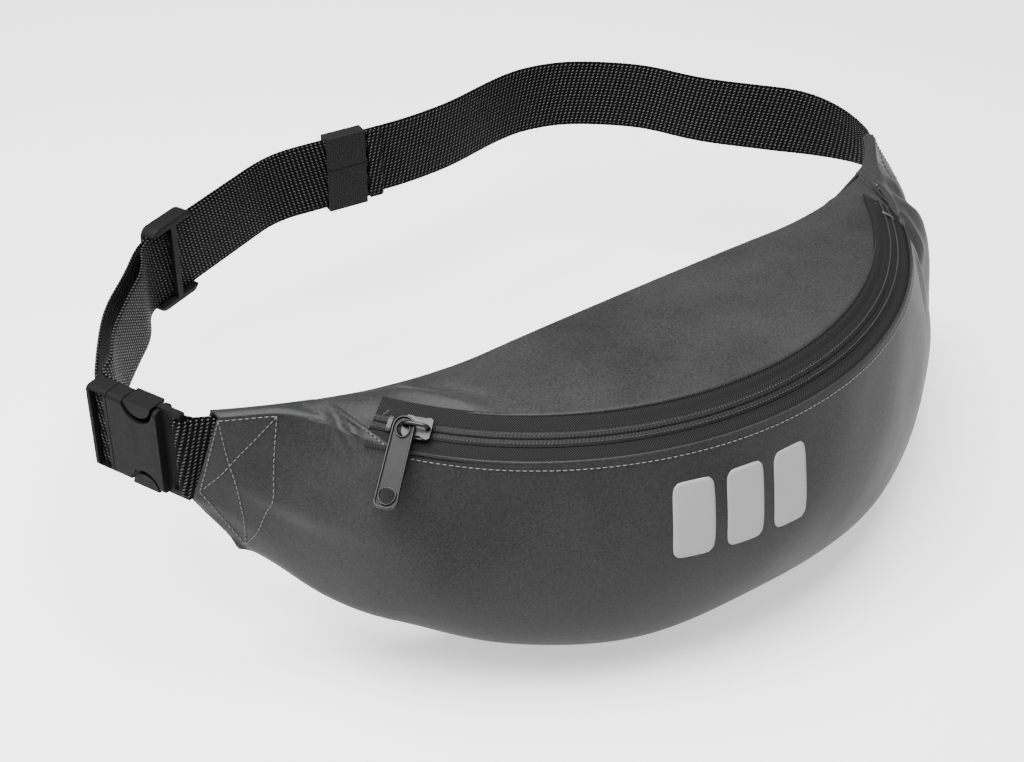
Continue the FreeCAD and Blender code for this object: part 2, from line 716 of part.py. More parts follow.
def make_male_buckle():
    body = new_body("male_buckle", frame_placement(SPLIT, BUCKLE_AXIS, UP, BUCKLE_IN))
    wide, long, gap = size("buckle_half_wide"), size("male_long"), size("shoulder_gap")
    opening = size("slot_half_wide")
    add_pad(body, add_sketch(body, rectangle(gap, long, -wide, wide)), "Sizes.buckle_thick")
    soften(body, along_buckle, 2.4)
    add_pocket(body, add_sketch(body, rectangle(2.0, 9.0, -opening, opening)), "Sizes.buckle_thick * 2")
    relief = rectangle(8.0, long + 1, -opening, opening)
    add_pocket(body, add_sketch(body, relief), "Sizes.buckle_thick", "2.2", True)
    add_pad(body, add_sketch(body, rectangle(4.0, 7.0, -opening - 0.5, opening + 0.5)), "3.4")
    add_pad(body, add_sketch(body, rectangle(-21.0, gap + 0.5, -2.2, 2.2)), "Sizes.arm_thick")


def make_buckle_arm(name, side):
    """Springy arm with the half-round button that shows in the female buckle's window."""
    body = new_body(f"buckle_arm_{name}", frame_placement(SPLIT, BUCKLE_AXIS, UP, BUCKLE_IN))
    root, place = size("arm_root"), size("window_place")
    stem = rectangle(-place, -0.1, *sorted((side * (root - 1.1), side * (root + 1.1))))
    add_pad(body, add_sketch(body, stem), "Sizes.arm_thick")
    centre, radius = side * size("button_centre"), size("button_round")
    cut = math.degrees(math.asin(0.6 / radius))
    if side > 0:
        sweep = (180 + cut, 360 - cut)
    else:
        sweep = (cut, 180 - cut)
    half = radius * math.cos(math.radians(cut))
    level = centre - side * 0.6
    button = [arc((-place, centre), radius, *sweep),
              Part.LineSegment(V(-place - half, level, 0), V(-place + half, level, 0))]
    add_pad(body, add_sketch(body, button), "Sizes.button_thick")


def run_frame(x, run, inset):
    """Frame on the double stretch of belt: along the run to the right, up, towards the wearer."""
    along = V(-run[0], -run[1], 0).normalize()
    inner = along.cross(UP)
    start = CORNER if run is GLIDE_RUN else KEEPER_START
    point = V(start[0], start[1], 0) + along * ((x - start[0]) / along.x)
    return point + inner * inset, along, UP, inner


def make_tri_glide():
    body = new_body("tri_glide", frame_placement(*run_frame(-131.0, GLIDE_RUN, size("layer_pitch") / 2)))
    long, wide, thick = size("glide_half_long"), size("glide_half_wide"), size("glide_half_thick")
    opening, bar = size("slot_half_wide"), size("glide_bar")
    add_pad(body, add_sketch(body, rounded_rectangle(long, wide, 5.0)), "2 * Sizes.glide_half_thick")
    hole = rectangle(-long + bar, long - bar, -opening, opening)
    add_pocket(body, add_sketch(body, hole), "4 * Sizes.glide_half_thick")
    front = rectangle(-long - 1, long + 1, -opening, opening)
    add_pocket(body, add_sketch(body, front), "2 * Sizes.glide_half_thick", "0 - Sizes.glide_half_gap", True)
    half = size("glide_centre_bar") / 2
    centre = rectangle(-half, half, -opening - 0.5, opening + 0.5)
    add_pad(body, add_sketch(body, centre), "Sizes.glide_half_thick - Sizes.glide_half_gap",
            "Sizes.glide_half_gap")
    ends = (wide - 0.01, thick - 0.01)
    soften(body, lambda edge: edge.BoundBox.YLength < 0.01 and abs(edge.BoundBox.YMin) > ends[0]
           and abs(edge.BoundBox.ZMin) > ends[1] and edge.BoundBox.XLength > 5, 1.6)


def make_keeper():
    place = frame_placement(*run_frame(-20.0, KEEPER_RUN, size("layer_pitch") / 2))
    wall = "Sizes.keeper_wall"
    outer = doc.addObject("Part::Box", "keeper_outside")
    outer.setExpression("Length", "Sizes.keeper_long")
    outer.setExpression("Width", f"2 * Sizes.slot_half_wide + 2 * {wall}")
    outer.setExpression("Height", f"2 * Sizes.keeper_half_gap + 2 * {wall}")
    inner = doc.addObject("Part::Box", "keeper_inside")
    inner.setExpression("Length", "Sizes.keeper_long + 2")
    inner.setExpression("Width", "2 * Sizes.slot_half_wide")
    inner.setExpression("Height", "2 * Sizes.keeper_half_gap")
    half_long, half_wide = size("keeper_long") / 2, size("slot_half_wide")
    half_gap, thick = size("keeper_half_gap"), size("keeper_wall")
    outer.Placement.Base = V(-half_long, -half_wide - thick, -half_gap - thick)
    inner.Placement.Base = V(-half_long - 1, -half_wide, -half_gap)
    loop = doc.addObject("Part::Cut", "keeper_loop")
    loop.Label = "keeper_loop"
    loop.Base = outer
    loop.Tool = inner
    loop.Placement = place
    nodes.append(loop)


# ---------------------------------------------------------------- build and export

make_front_panel()
make_top_panel()
make_back_panel()
make_rear_pouch()
make_main_zip()
make_rear_zip()
make_belt()
make_buckle_webbing()
make_female_buckle()
make_male_buckle()
make_buckle_arm("upper", 1)
make_buckle_arm("lower", -1)
make_tri_glide()
make_keeper()
doc.recompute()

for item in doc.Objects:
    if "Invalid" in item.State or "Error" in item.State:
        raise RuntimeError(item.Label + " failed to build")
os.makedirs("parts", exist_ok=True)
for node in nodes:
    if node.Shape.isNull() or not node.Shape.isValid() or node.Shape.Volume <= 0:
        raise RuntimeError(node.Label + " has no valid solid")
for node in nodes:
    node.Shape.exportStep(os.path.join("parts", node.Label + ".step"))
    print(node.Label, round(node.Shape.Volume, 1))
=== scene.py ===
import functools
import math

import bmesh
import bpy
import numpy as np
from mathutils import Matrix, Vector
from numpy.linalg import norm


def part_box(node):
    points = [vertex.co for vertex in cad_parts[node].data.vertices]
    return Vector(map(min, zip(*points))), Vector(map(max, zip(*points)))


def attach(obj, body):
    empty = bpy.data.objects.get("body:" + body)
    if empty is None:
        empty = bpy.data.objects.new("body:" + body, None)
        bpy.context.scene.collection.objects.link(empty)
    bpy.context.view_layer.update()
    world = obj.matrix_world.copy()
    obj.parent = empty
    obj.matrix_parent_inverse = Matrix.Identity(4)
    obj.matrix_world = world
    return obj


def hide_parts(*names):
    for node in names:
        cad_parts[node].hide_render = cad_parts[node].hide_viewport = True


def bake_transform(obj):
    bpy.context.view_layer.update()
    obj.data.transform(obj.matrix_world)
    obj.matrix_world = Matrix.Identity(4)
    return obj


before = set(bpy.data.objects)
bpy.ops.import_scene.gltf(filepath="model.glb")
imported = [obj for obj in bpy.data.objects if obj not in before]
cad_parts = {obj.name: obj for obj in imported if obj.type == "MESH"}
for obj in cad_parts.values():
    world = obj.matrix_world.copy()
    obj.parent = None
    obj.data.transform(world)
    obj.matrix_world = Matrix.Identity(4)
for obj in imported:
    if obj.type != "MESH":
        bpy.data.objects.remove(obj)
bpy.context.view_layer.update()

# Waist bag with a webbing belt. Shapes are worked out in millimetres and written in metres.

MM = 0.001
UP = np.array([0.0, 0.0, 1.0])


# ---------------------------------------------------------------- small sums

def clamp(value):
    return min(1.0, max(0.0, value))


def smooth(share):
    """Eases a share from 0 to 1 in and out."""
    return share * share * (3 - 2 * share)


def unit(vector):
    return vector / norm(vector)


def run_lengths(path):
    """How far along the path each of its points lies."""
    return np.concatenate([[0], np.cumsum(norm(np.diff(path, axis=0), axis=1))])


def path_at(path, steps, place):
    """Where the path is at one distance along it, or at several."""
    return np.stack([np.interp(place, steps, column) for column in path.T], axis=-1)


# ---------------------------------------------------------------- camera, light, floor

CAMERA_LENS, CAMERA_PLACE = 70.227, (-0.47266, -0.64354, 0.48943)
CAMERA_DOWN, CAMERA_TURN = 35.492, -36.733


def fill(node, values):
    for key, value in values.items():
        node.inputs[key].default_value = value


def make_camera():
    camera = bpy.data.objects.new("camera", bpy.data.cameras.new("camera"))
    bpy.context.scene.collection.objects.link(camera)
    camera.data.lens = CAMERA_LENS
    camera.data.sensor_width = 36.0
    camera.location = CAMERA_PLACE
    camera.rotation_euler = (math.radians(90 - CAMERA_DOWN), 0, math.radians(CAMERA_TURN))
    bpy.context.scene.camera = camera


def area_light(name, place, target, size, watts):
    light = bpy.data.lights.new(name, "AREA")
    light.shape = "RECTANGLE"
    light.size = light.size_y = size
    light.energy = watts
    lamp = bpy.data.objects.new(name, light)
    bpy.context.scene.collection.objects.link(lamp)
    lamp.location = place
    lamp.rotation_euler = (Vector(target) - Vector(place)).to_track_quat("-Z", "Y").to_euler()


def make_studio():
    world = bpy.data.worlds.new("studio")
    bpy.context.scene.world = world
    world.use_nodes = True
    fill(world.node_tree.nodes["Background"], {"Color": (1, 1, 1, 1), "Strength": 0.4})
    area_light("key", (0.75, -0.75, 0.55), (0.05, -0.1, 0), 0.6, 3)
    area_light("top", (-0.25, -0.1, 1.0), (0, -0.05, 0), 1.0, 72)
    area_light("rim", (-0.8, 0.1, 0.5), (0, 0, 0), 0.4, 5)
    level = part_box("front_panel")[0].z
    bpy.ops.mesh.primitive_plane_add(size=6, location=(0, 0, level))
    floor = bpy.context.object
    floor.name = "floor"
    paint = bpy.data.materials.new("floor_paint")
    paint.use_nodes = True
    fill(paint.node_tree.nodes["Principled BSDF"],
         {"Base Color": (0.62, 0.62, 0.62, 1), "Roughness": 0.9,
          "Emission Color": (1, 1, 1, 1), "Emission Strength": 0.8})
    floor.data.materials.append(paint)


# ---------------------------------------------------------------- materials

class Shader:
    """Small helper to write node trees in a few lines."""

    def __init__(self, name, roughness, metallic=0.0, specular=0.5):
        self.material = bpy.data.materials.new(name)
        self.material.use_nodes = True
        self.tree = self.material.node_tree
        self.principled = self.tree.nodes["Principled BSDF"]
        fill(self.principled, {"Roughness": roughness, "Metallic": metallic, "Specular IOR Level": specular})
        self.object_place = self.node("ShaderNodeTexCoord").outputs["Object"]

    def node(self, kind, **settings):
        made = self.tree.nodes.new(kind)
        for key, value in settings.items():
            setattr(made, key, value)
        return made

    def feed(self, socket, value):
        if isinstance(value, bpy.types.NodeSocket):
            self.tree.links.new(value, socket)
        else:
            socket.default_value = value

    def math(self, operation, *values):
        made = self.node("ShaderNodeMath", operation=operation)
        for socket, value in zip(made.inputs, values):
            self.feed(socket, value)
        return made.outputs[0]

    def add(self, a, b):
        return self.math("ADD", a, b)

    def times(self, a, b):
        return self.math("MULTIPLY", a, b)

    def lifted(self, wave, half=0.5):
        """A wave about zero, brought between zero and twice half."""
        return self.add(self.times(wave, half), half)

    def noise(self, scale, detail=2.0, rough=0.5):
        made = self.node("ShaderNodeTexNoise")
        self.feed(made.inputs["Vector"], self.object_place)
        fill(made, {"Scale": scale, "Detail": detail, "Roughness": rough})
        return made.outputs["Fac"]

    def ramp(self, value, low, high):
        """Straight line from low to high, each an input and its result."""
        made = self.node("ShaderNodeMapRange")
        self.feed(made.inputs["Value"], value)
        fill(made, {"From Min": low[0], "From Max": high[0], "To Min": low[1], "To Max": high[1]})
        return made.outputs["Result"]

    def blend_greys(self, share, low, high):
        """Base colour between two greys, each its red and green and its blue."""
        made = self.node("ShaderNodeMix", data_type="RGBA")
        self.feed(made.inputs[0], share)
        for socket, (grey, blue) in ((6, low), (7, high)):
            made.inputs[socket].default_value = (grey, grey, blue, 1)
        self.feed(self.principled.inputs["Base Color"], made.outputs[2])

    def bump(self, height, strength, distance, onto=None):
        made = self.node("ShaderNodeBump")
        fill(made, {"Strength": strength, "Distance": distance})
        self.feed(made.inputs["Height"], height)
        if onto:
            self.feed(made.inputs["Normal"], onto)
        self.feed(self.principled.inputs["Normal"], made.outputs["Normal"])
        return made.outputs["Normal"]

    def weave_place(self):
        """The piece's own flat coordinates, in millimetres along and across."""
        flat = self.node("ShaderNodeUVMap", uv_map="weave").outputs["UV"]
        split = self.node("ShaderNodeSeparateXYZ")
        self.feed(split.inputs[0], flat)
        return split.outputs[0], split.outputs[1]


def fabric_material():
    """Retro-reflective cloth: grey glass-bead coating over a fine weave."""
    cloth = Shader("reflective_fabric", 0.6, 0.0, 0.12)
    fine = cloth.noise(1100, 2.0, 0.7)
    patches = cloth.noise(16, 3.0, 0.6)
    share = cloth.add(cloth.times(fine, 0.6), cloth.times(patches, 0.4))
    cloth.blend_greys(cloth.ramp(share, (0.35, 0.0), (0.65, 1.0)), (0.005, 0.0052),
                        (0.0175, 0.0178))
    cloth.feed(cloth.principled.inputs["Roughness"], cloth.ramp(patches, (0.3, 0.46), (0.7, 0.58)))
    fill(cloth.principled, {"Sheen Weight": 0.03, "Sheen Roughness": 0.4})
    soft = cloth.bump(cloth.noise(95, 4.0, 0.6), 0.25, 0.0006)
    cloth.bump(fine, 0.25, 0.00012, soft)
    return cloth.material


def grained_material(name, roughness, specular, grain, low, high, relief, strength, distance):
    """Plain stuff: a fine grain between two greys, and a relief; grain and relief are noise settings."""
    stuff = Shader(name, roughness, 0.0, specular)
    stuff.blend_greys(stuff.noise(*grain), low, high)
    stuff.bump(stuff.noise(*relief), strength, distance)
    return stuff.material


def waves(shader, value, pitch, shift=0.0):
    return shader.math("SINE", shader.add(shader.times(value, 2 * math.pi / pitch), shift))


def webbing_material():
    """Coarse belt webbing: staggered floats of yarn in a brick-like weave, painted lighter on the raised
    floats as painted highlight and near black between them as painted shade.
    """
    web = Shader("webbing", 0.65, 0.0, 0.04)
    along, across = web.weave_place()
    pitch_along, pitch_across = 2.3, 1.75
    column = web.math("FLOOR", web.math("DIVIDE", across, pitch_across))
    odd = web.math("MODULO", web.math("ABSOLUTE", column), 2.0)
    slanted = web.add(along, web.times(across, 0.9))
    floats = waves(web, slanted, pitch_along)
    staggered = waves(web, slanted, pitch_along, web.times(odd, math.pi))
    inside = web.math("ABSOLUTE", waves(web, across, 2 * pitch_across))
    height = web.add(web.times(web.lifted(staggered), inside), web.times(floats, 0.05))
    strands = web.noise(2200, 1.0)
    # Painted highlight and shade: the colour follows the weave's height, light on the raised floats and near
    # black in the hollows between them.
    web.blend_greys(web.ramp(height, (0.58, 0.0), (1.0, 1.0)), (0.0002, 0.0002),
                      (0.085, 0.086))
    web.feed(web.principled.inputs["Roughness"], web.ramp(height, (0.2, 0.7), (0.9, 0.38)))
    first = web.bump(height, 0.9, 0.0011)
    web.bump(strands, 0.35, 0.0002, first)
    return web.material


def tape_material():
    """Herringbone zip tape, painted lighter on its ridges as painted highlight and darker in its grooves as
    painted shade.
    """
    tape = Shader("zip_tape", 0.7, 0.0, 0.08)
    along, across = tape.weave_place()
    zigzag = tape.math("PINGPONG", across, 2.6)
    height = tape.lifted(waves(tape, tape.add(along, zigzag), 1.05))
    # Painted highlight and shade: the colour follows the ridges' height, lighter on top and darker in the
    # grooves.
    tape.blend_greys(height, (0.002, 0.0021), (0.011, 0.0113))
    tape.bump(height, 0.7, 0.00035)
    return tape.material


def metal_material(name, low, high, roughness):
    metal = Shader(name, roughness, 1.0)
    marks = metal.noise(240, 5.0, 0.65)
    metal.blend_greys(marks, low, high)
    metal.feed(metal.principled.inputs["Roughness"],
               metal.ramp(marks, (0.3, roughness - 0.06), (0.7, roughness + 0.1)))
    metal.bump(metal.noise(900, 3.0), 0.12, 0.0002)
    return metal.material


def plastic_material():
    """Moulded acetal with a faint spark-eroded grain."""
    acetal = Shader("acetal", 0.5, 0.0, 0.05)
    acetal.blend_greys(acetal.noise(30, 3.0), (0.003, 0.0031), (0.006, 0.0062))
    acetal.feed(acetal.principled.inputs["Roughness"],
                acetal.ramp(acetal.noise(400, 4.0), (0.3, 0.45), (0.7, 0.6)))
    acetal.bump(acetal.noise(2400, 2.0), 0.22, 0.00012)
    return acetal.material


def elastic_material():
    """Fine-ribbed elastic of the keeper, with a seam along its middle; its ribs and knots are painted
    lighter as painted highlight and its grooves and sunk seam darker as painted shade.
    """
    elastic = Shader("elastic", 0.75, 0.0, 0.1)
    split = elastic.node("ShaderNodeSeparateXYZ")
    elastic.feed(split.inputs[0], elastic.object_place)
    ribs = elastic.lifted(waves(elastic, split.outputs[0], 0.0012))
    knots = elastic.lifted(waves(elastic, split.outputs[2], 0.0009), 0.25)
    height = elastic.add(elastic.times(ribs, 0.7), knots)
    from_seam = elastic.math("ABSOLUTE", elastic.math("SUBTRACT", split.outputs[2], 0.0025))
    seam = elastic.ramp(from_seam, (0.0003, 0.0), (0.0007, 1.0))
    height = elastic.times(height, seam)
    # Painted highlight and shade: the colour follows the height of ribs, knots and seam, lighter on raised
    # yarn and darker in the grooves and the sunk seam.
    elastic.blend_greys(height, (0.0005, 0.0006), (0.009, 0.0093))
    elastic.bump(height, 0.8, 0.0005)
    return elastic.material


# ---------------------------------------------------------------- mesh helpers

def finish_piece(piece, body, material, nodes=(), smooth=True):
    piece.data.materials.clear()
    piece.data.materials.append(material)
    for face in piece.data.polygons:
        face.use_smooth = smooth
    if nodes:
        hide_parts(*nodes)
    if body:
        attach(piece, body)
    return piece


def new_piece(name, points, faces, flat=None):
    """A mesh object from millimetre points; flat gives each point's weave coordinates."""
    mesh = bpy.data.meshes.new(name)
    faces = [tuple(int(i) for i in face) for face in faces]
    mesh.from_pydata((np.asarray(points, float) * MM).tolist(), [], faces)
    if flat is not None:
        layer = mesh.uv_layers.new(name="weave")
        order = np.empty(len(mesh.loops), int)
        mesh.loops.foreach_get("vertex_index", order)
        layer.data.foreach_set("uv", np.asarray(flat, float)[order].ravel())
    mesh.update()
    piece = bpy.data.objects.new(name, mesh)
    bpy.context.scene.collection.objects.link(piece)
    return piece


def grid_normals(grid):
    along = np.gradient(grid, axis=0)
    across = np.gradient(grid, axis=1)
    normals = np.cross(along, across)
    return normals / np.maximum(norm(normals, axis=2, keepdims=True), 1e-9)


def grid_faces(rows, columns, start=0, turned=False, skip=None):
    i, j = np.meshgrid(np.arange(rows - 1), np.arange(columns - 1), indexing="ij")
    if skip is not None:
        kept = ~skip
        i, j = i[kept], j[kept]
    base = (start + i * columns + j).ravel()
    faces = np.stack([base, base + columns, base + columns + 1, base + 1], axis=1)
    return faces[:, ::-1] if turned else faces


def ring_faces(rings, count, closed=False):
    """Quads between rings of count points, with a face on each end unless the rings close up."""
    faces = []
    for ring in range(rings if closed else rings - 1):
        here, there = ring * count, (ring + 1) % rings * count
        for k in range(count):
            after = (k + 1) % count
            faces.append((here + k, here + after, there + after, there + k))
    if not closed:
        faces += [tuple(range(count))[::-1], tuple(range((rings - 1) * count, rings * count))]
    return faces


def shell(name, grid, thickness, side, skip=None):
    """Closed sheet: the grid is its outer face, and its inner face lies thickness mm behind."""
    rows, columns = grid.shape[:2]
    inner = grid - grid_normals(grid) * side * thickness
    points = np.concatenate([grid.reshape(-1, 3), inner.reshape(-1, 3)])
    count = rows * columns
    faces = [grid_faces(rows, columns, 0, side < 0, skip), grid_faces(rows, columns, count, side > 0, skip)]
    edges = {}
    for quad in faces[0]:
        for a, b in zip(quad, np.roll(quad, -1)):
            edges[(a, b)] = edges.get((a, b), 0) + 1
    rims = [(a, b) for a, b in edges if (b, a) not in edges]
    walls = [(b, a, a + count, b + count) for a, b in rims]
    lengths = [run_lengths(line)
               for line in (grid[:, columns // 2], grid[rows // 2])]
    u, v = np.meshgrid(lengths[0], lengths[1], indexing="ij")
    flat = np.stack([u, v], axis=2).reshape(-1, 2)
    return new_piece(name, points, list(faces[0]) + list(faces[1]) + walls, np.concatenate([flat, flat]))


def edit_mesh(piece, change):
    work = bmesh.new()
    work.from_mesh(piece.data)
    change(work)
    work.to_mesh(piece.data)
    work.free()
    return piece


def drop_loose(piece):
    def change(work):
        bmesh.ops.delete(work, geom=[v for v in work.verts if not v.link_faces], context="VERTS")
    return edit_mesh(piece, change)


def fix_normals(piece):
    return edit_mesh(piece, lambda work: bmesh.ops.recalc_face_normals(work, faces=work.faces))


def joined(name, parts):
    """One piece from several lists of points and faces."""
    points, faces = [], []
    for more, links in parts:
        faces += [tuple(i + len(points) for i in link) for link in links]
        points += list(more)
    return fix_normals(new_piece(name, points, faces))


def round_edges(piece, width, segments=3):
    bevel = piece.modifiers.new("edge", "BEVEL")
    bevel.width = width * MM
    bevel.segments = segments
    bevel.limit_method = "ANGLE"
    bevel.angle_limit = math.radians(38)
    normal = piece.modifiers.new("normals", "WEIGHTED_NORMAL")
    normal.keep_sharp = False


def spline(points, count):
    """Natural cubic spline through the points, spaced by chord, at count even steps."""
    points = np.asarray(points, float)
    chords = norm(np.diff(points, axis=0), axis=1)
    knots = np.concatenate([[0], np.cumsum(chords)])
    n = len(points)
    system = np.zeros((n, n))
    right = np.zeros_like(points)
    system[0, 0] = system[-1, -1] = 1
    for k in range(1, n - 1):
        system[k, k - 1:k + 2] = chords[k - 1], 2 * (chords[k - 1] + chords[k]), chords[k]
        before, after = points[k] - points[k - 1], points[k + 1] - points[k]
        right[k] = 6 * (after / chords[k] - before / chords[k - 1])
    bend = np.linalg.solve(system, right)
    spots = np.linspace(0, knots[-1], count)
    k = np.clip(np.searchsorted(knots, spots, side="right") - 1, 0, n - 2)
    h = chords[k][:, None]
    a = (knots[k + 1] - spots)[:, None]
    b = (spots - knots[k])[:, None]
    return (bend[k] * a ** 3 / (6 * h) + bend[k + 1] * b ** 3 / (6 * h)
            + (points[k] / h - bend[k] * h / 6) * a + (points[k + 1] / h - bend[k + 1] * h / 6) * b)


# ---------------------------------------------------------------- fabric shell

FABRIC = 1.1
WING_GAP = 1.8
ZIP_END = 148.0
ZIP_CENTRE = np.array([0.0, -24.0, 21.5])
ZIP_ARC, ZIP_SLOPE = 162.5, math.radians(32.9)
FRONT_ARC, TOP_ARC = 171.4, 154.6
TOP_STRAIGHT = 129.0
TAPER_START, WING_END = 160.0, 198.0
WING_TOP, WING_HEIGHT = 20.0, 68.0
TIP_Z, TIP_TOP, TIP_OUT, TIP_CUT = -19.5, 187.0, 198.6, 15.6
EASE_FROM, EASE_TO = 118.0, 197.0
CREASE_STEPS = 40


# The curves from here on are fitted: y and z in millimetres at a distance x from the bag's middle.

def back_line(x):
    beyond = max(0.0, abs(x) - 80.0)
    return -98.0 + 36.0 * (beyond / 110.0) ** 1.8


def back_stretch(x):
    """Length of the back line for each millimetre across."""
    return math.hypot(1.0, back_line(x + 0.5) - back_line(x - 0.5))


def zip_edge(arc, x):
    return ZIP_CENTRE[1] - math.sqrt(arc ** 2 - x ** 2)


def wing_share(x):
    return clamp((abs(x) - 126.0) / 20.0)


def bottom_seam(x):
    share = min(abs(x), 150.0) / 150.0
    y = -111.0 + 11.0 * share ** 2.6
    z = -90.0 + 41.0 * share ** 2.3
    settle = clamp((abs(x) - 128.0) / 32.0)
    return y + settle * (back_line(x) - y), z


def front_outline(x):
    reach = min(abs(x), ZIP_END)
    top = (zip_edge(FRONT_ARC, reach), 17.2)
    share = (reach / 177.0) ** 2
    bulge = (-207.0 + 96.0 * share, -41.0 + 17.0 * share)
    near = (-185.0 + 42.0 * (reach / 130.0) ** 2.8, -83.0 + 13.0 * (reach / 130.0) ** 3)
    seam_y, seam_z = bottom_seam(reach)
    end = (seam_y - 1.6 - wing_share(x) * 2 * WING_GAP, seam_z)
    sag = 11.5 * (1 - (reach / 190.0) ** 2)
    belly = ((near[0] + end[0]) / 2, (near[1] + end[1]) / 2 - sag)
    shoulder = (top[0] + 0.66 * (bulge[0] - top[0]), top[1] + 0.48 * (bulge[1] - top[1]))
    return [top, shoulder, bulge, near, belly, end]


def front_section(x):
    points = front_outline(x)
    if abs(x) <= ZIP_END:
        return points
    beyond = abs(x) - ZIP_END
    cover = WING_GAP + 1.2
    parts = (0.0, 0.17, 0.35, 0.78, 0.92, 1.0)
    heights = [WING_TOP - WING_HEIGHT * part for part in parts]
    soft = [0.5 + 0.5 * math.cos(math.pi * min(1.0, beyond / span)) for span in (22.0, 31.0)]
    low = math.sqrt(1 - min(1.0, beyond / 38.0) ** 2)
    fullness = [max(0.0, 1 - beyond / 9.0), *soft, low, low, 0.0]
    start = back_line(ZIP_END) - cover
    flat = back_line(x) - cover
    section = [(flat + full * (y - start), height + full * (z - height))
               for (y, z), height, full in zip(points, heights, fullness)]
    seam_y, seam_z = bottom_seam(x)
    section[-1] = (seam_y - cover, seam_z)
    return section


def tip_reach(z):
    """Where the wing's slanted end cuts it off at a height."""
    if z > TIP_Z:
        return TIP_TOP + (TIP_OUT - TIP_TOP) * min(1.2, (WING_TOP - z) / (WING_TOP - TIP_Z))
    return TIP_OUT - TIP_CUT * min(1.0, (TIP_Z - z) / (TIP_Z + WING_HEIGHT - WING_TOP))


def slanted_end(x, section_of, count):
    """The section at a station, squeezed so that the last station follows the wing's slanted end."""
    rough = spline(section_of(x), count)
    if abs(x) <= TAPER_START:
        return at_station(x, rough)
    share = (abs(x) - TAPER_START) / (WING_END - TAPER_START)
    result = np.empty((count, 3))
    for k in range(count):
        reach = TAPER_START + share * (tip_reach(rough[k, 1]) - TAPER_START)
        y, z = spline(section_of(reach), count)[k]
        pinch = 1.0 - 0.75 * clamp((TIP_Z - z) / 8.0) * min(1.0, (abs(x) - TAPER_START) / 20.0)
        middle = back_line(reach)
        result[k] = (math.copysign(reach, x), middle + (y - middle) * pinch, z)
    return result


def at_station(x, rows):
    """Places in a section of the bag, given as y and z, at a distance from its middle."""
    return np.column_stack([np.full(len(rows), x), rows])


def stations(half, step):
    count = int(round(2 * half / step)) + 1
    return np.linspace(-half, half, count)


def crease(grid, normals, a, b, width, depth, fade):
    """Raises or sinks a soft fold along the cloth from a to b, tapering at its ends."""
    a, b = np.asarray(a, float), np.asarray(b, float)
    flat = grid.reshape(-1, 3)
    line = a + (b - a) * np.linspace(0, 1, CREASE_STEPS)[:, None]
    line = np.array([flat[np.argmin(((flat - spot) ** 2).sum(axis=1))] for spot in line])
    for _ in range(8):
        line[1:-1] = (line[:-2] + 2 * line[1:-1] + line[2:]) / 4
    reach = norm(b - a) / 2 + 4 * width
    near = np.where(((flat - (a + b) / 2) ** 2).sum(axis=1) < reach ** 2)[0]
    gap = ((flat[near, None] - line[None]) ** 2).sum(axis=2)
    share = gap.argmin(axis=1) / (CREASE_STEPS - 1)
    taper = smooth(np.clip(share / fade[0], 0, 1) * np.clip((1 - share) / fade[1], 0, 1))
    rise = depth * taper * np.exp(-gap.min(axis=1) / width ** 2)
    flat[near] += normals.reshape(-1, 3)[near] * rise[:, None]
    grid[:] = flat.reshape(grid.shape)


def ripples(grid, scale, seed):
    """Smooth waviness from a few sine waves, about 1 high."""
    rolls = np.random.default_rng(seed)
    total = np.zeros(grid.shape[:2])
    for _ in range(9):
        direction = rolls.normal(size=3)
        direction /= norm(direction)
        length = scale * rolls.uniform(0.6, 1.7)
        total += np.sin(grid @ direction * 2 * np.pi / length + rolls.uniform(0, 6.28)) / 3
    return total


CAP_STARTS = {-1: 141.0, 1: 143.0}
CAP_LEAN = -10.0
CAP_ROWS, HEM_ROWS, FRONT_ROWS = 16, 5, 96


def lip_points(top, below):
    """Rows of the turned lip along the zip."""
    run = unit(below - top)
    normal = np.array([run[1], -run[0]])
    turns = np.linspace(0, 1, CAP_ROWS, endpoint=False)[:, None]
    lip = top - normal * 1.1 - run * 0.1
    return lip + (top - lip) * turns - run * 0.45 * np.sin(turns * math.pi)


def cap_rows(x, top):
    """Rows from the back panel's edge over the end of the zip to the top of the front panel."""
    reach, side = abs(x), math.copysign(1.0, x)
    lean = CAP_LEAN * clamp((166.0 - reach) / 20.0)
    weight = smooth(clamp(1 - (reach - 144.0) / 9.0))
    edge_x = reach - lean
    edge = np.array(back_section(edge_x)[0]) + (0.4, 0.3)
    marks = []
    for part in (0.2, 0.4, 0.6, 0.8):
        mark = edge + (top - edge) * part + (0, 0.9 * math.sin(part * math.pi))
        station = reach - lean * (1 - part)
        radius = math.hypot(station, mark[0] - ZIP_CENTRE[1])
        over = ZIP_CENTRE[2] - (radius - ZIP_ARC) * math.tan(ZIP_SLOPE) + 1.3
        mark[1] += max(0.0, over - mark[1]) * weight
        marks.append(mark)
    flat = spline([edge, *marks, top], CAP_ROWS + 1)[:-1]
    shares = np.linspace(0, 1, CAP_ROWS, endpoint=False)
    return np.column_stack([side * (reach - lean * (1 - shares)), flat])


def front_column(x):
    """Every row of the front panel at a station: cap, panel and bottom hem."""
    panel = slanted_end(x, front_section, FRONT_ROWS)
    if abs(x) < CAP_STARTS[1 if x > 0 else -1]:
        cap = at_station(x, lip_points(panel[0, 1:], panel[2, 1:]))
    else:
        cap = cap_rows(panel[0, 0], panel[0, 1:])
    end = panel[-1]
    seam = back_section(abs(end[0]))[1]
    turns = np.linspace(0, 1, HEM_ROWS + 1)[1:]
    deep, drop = seam[0] - end[1], seam[1] - end[2]
    hem = [(end[0], end[1] + deep * t, end[2] + drop * t - FABRIC * math.sin(t * math.pi)) for t in turns]
    return np.vstack([cap, panel, hem])


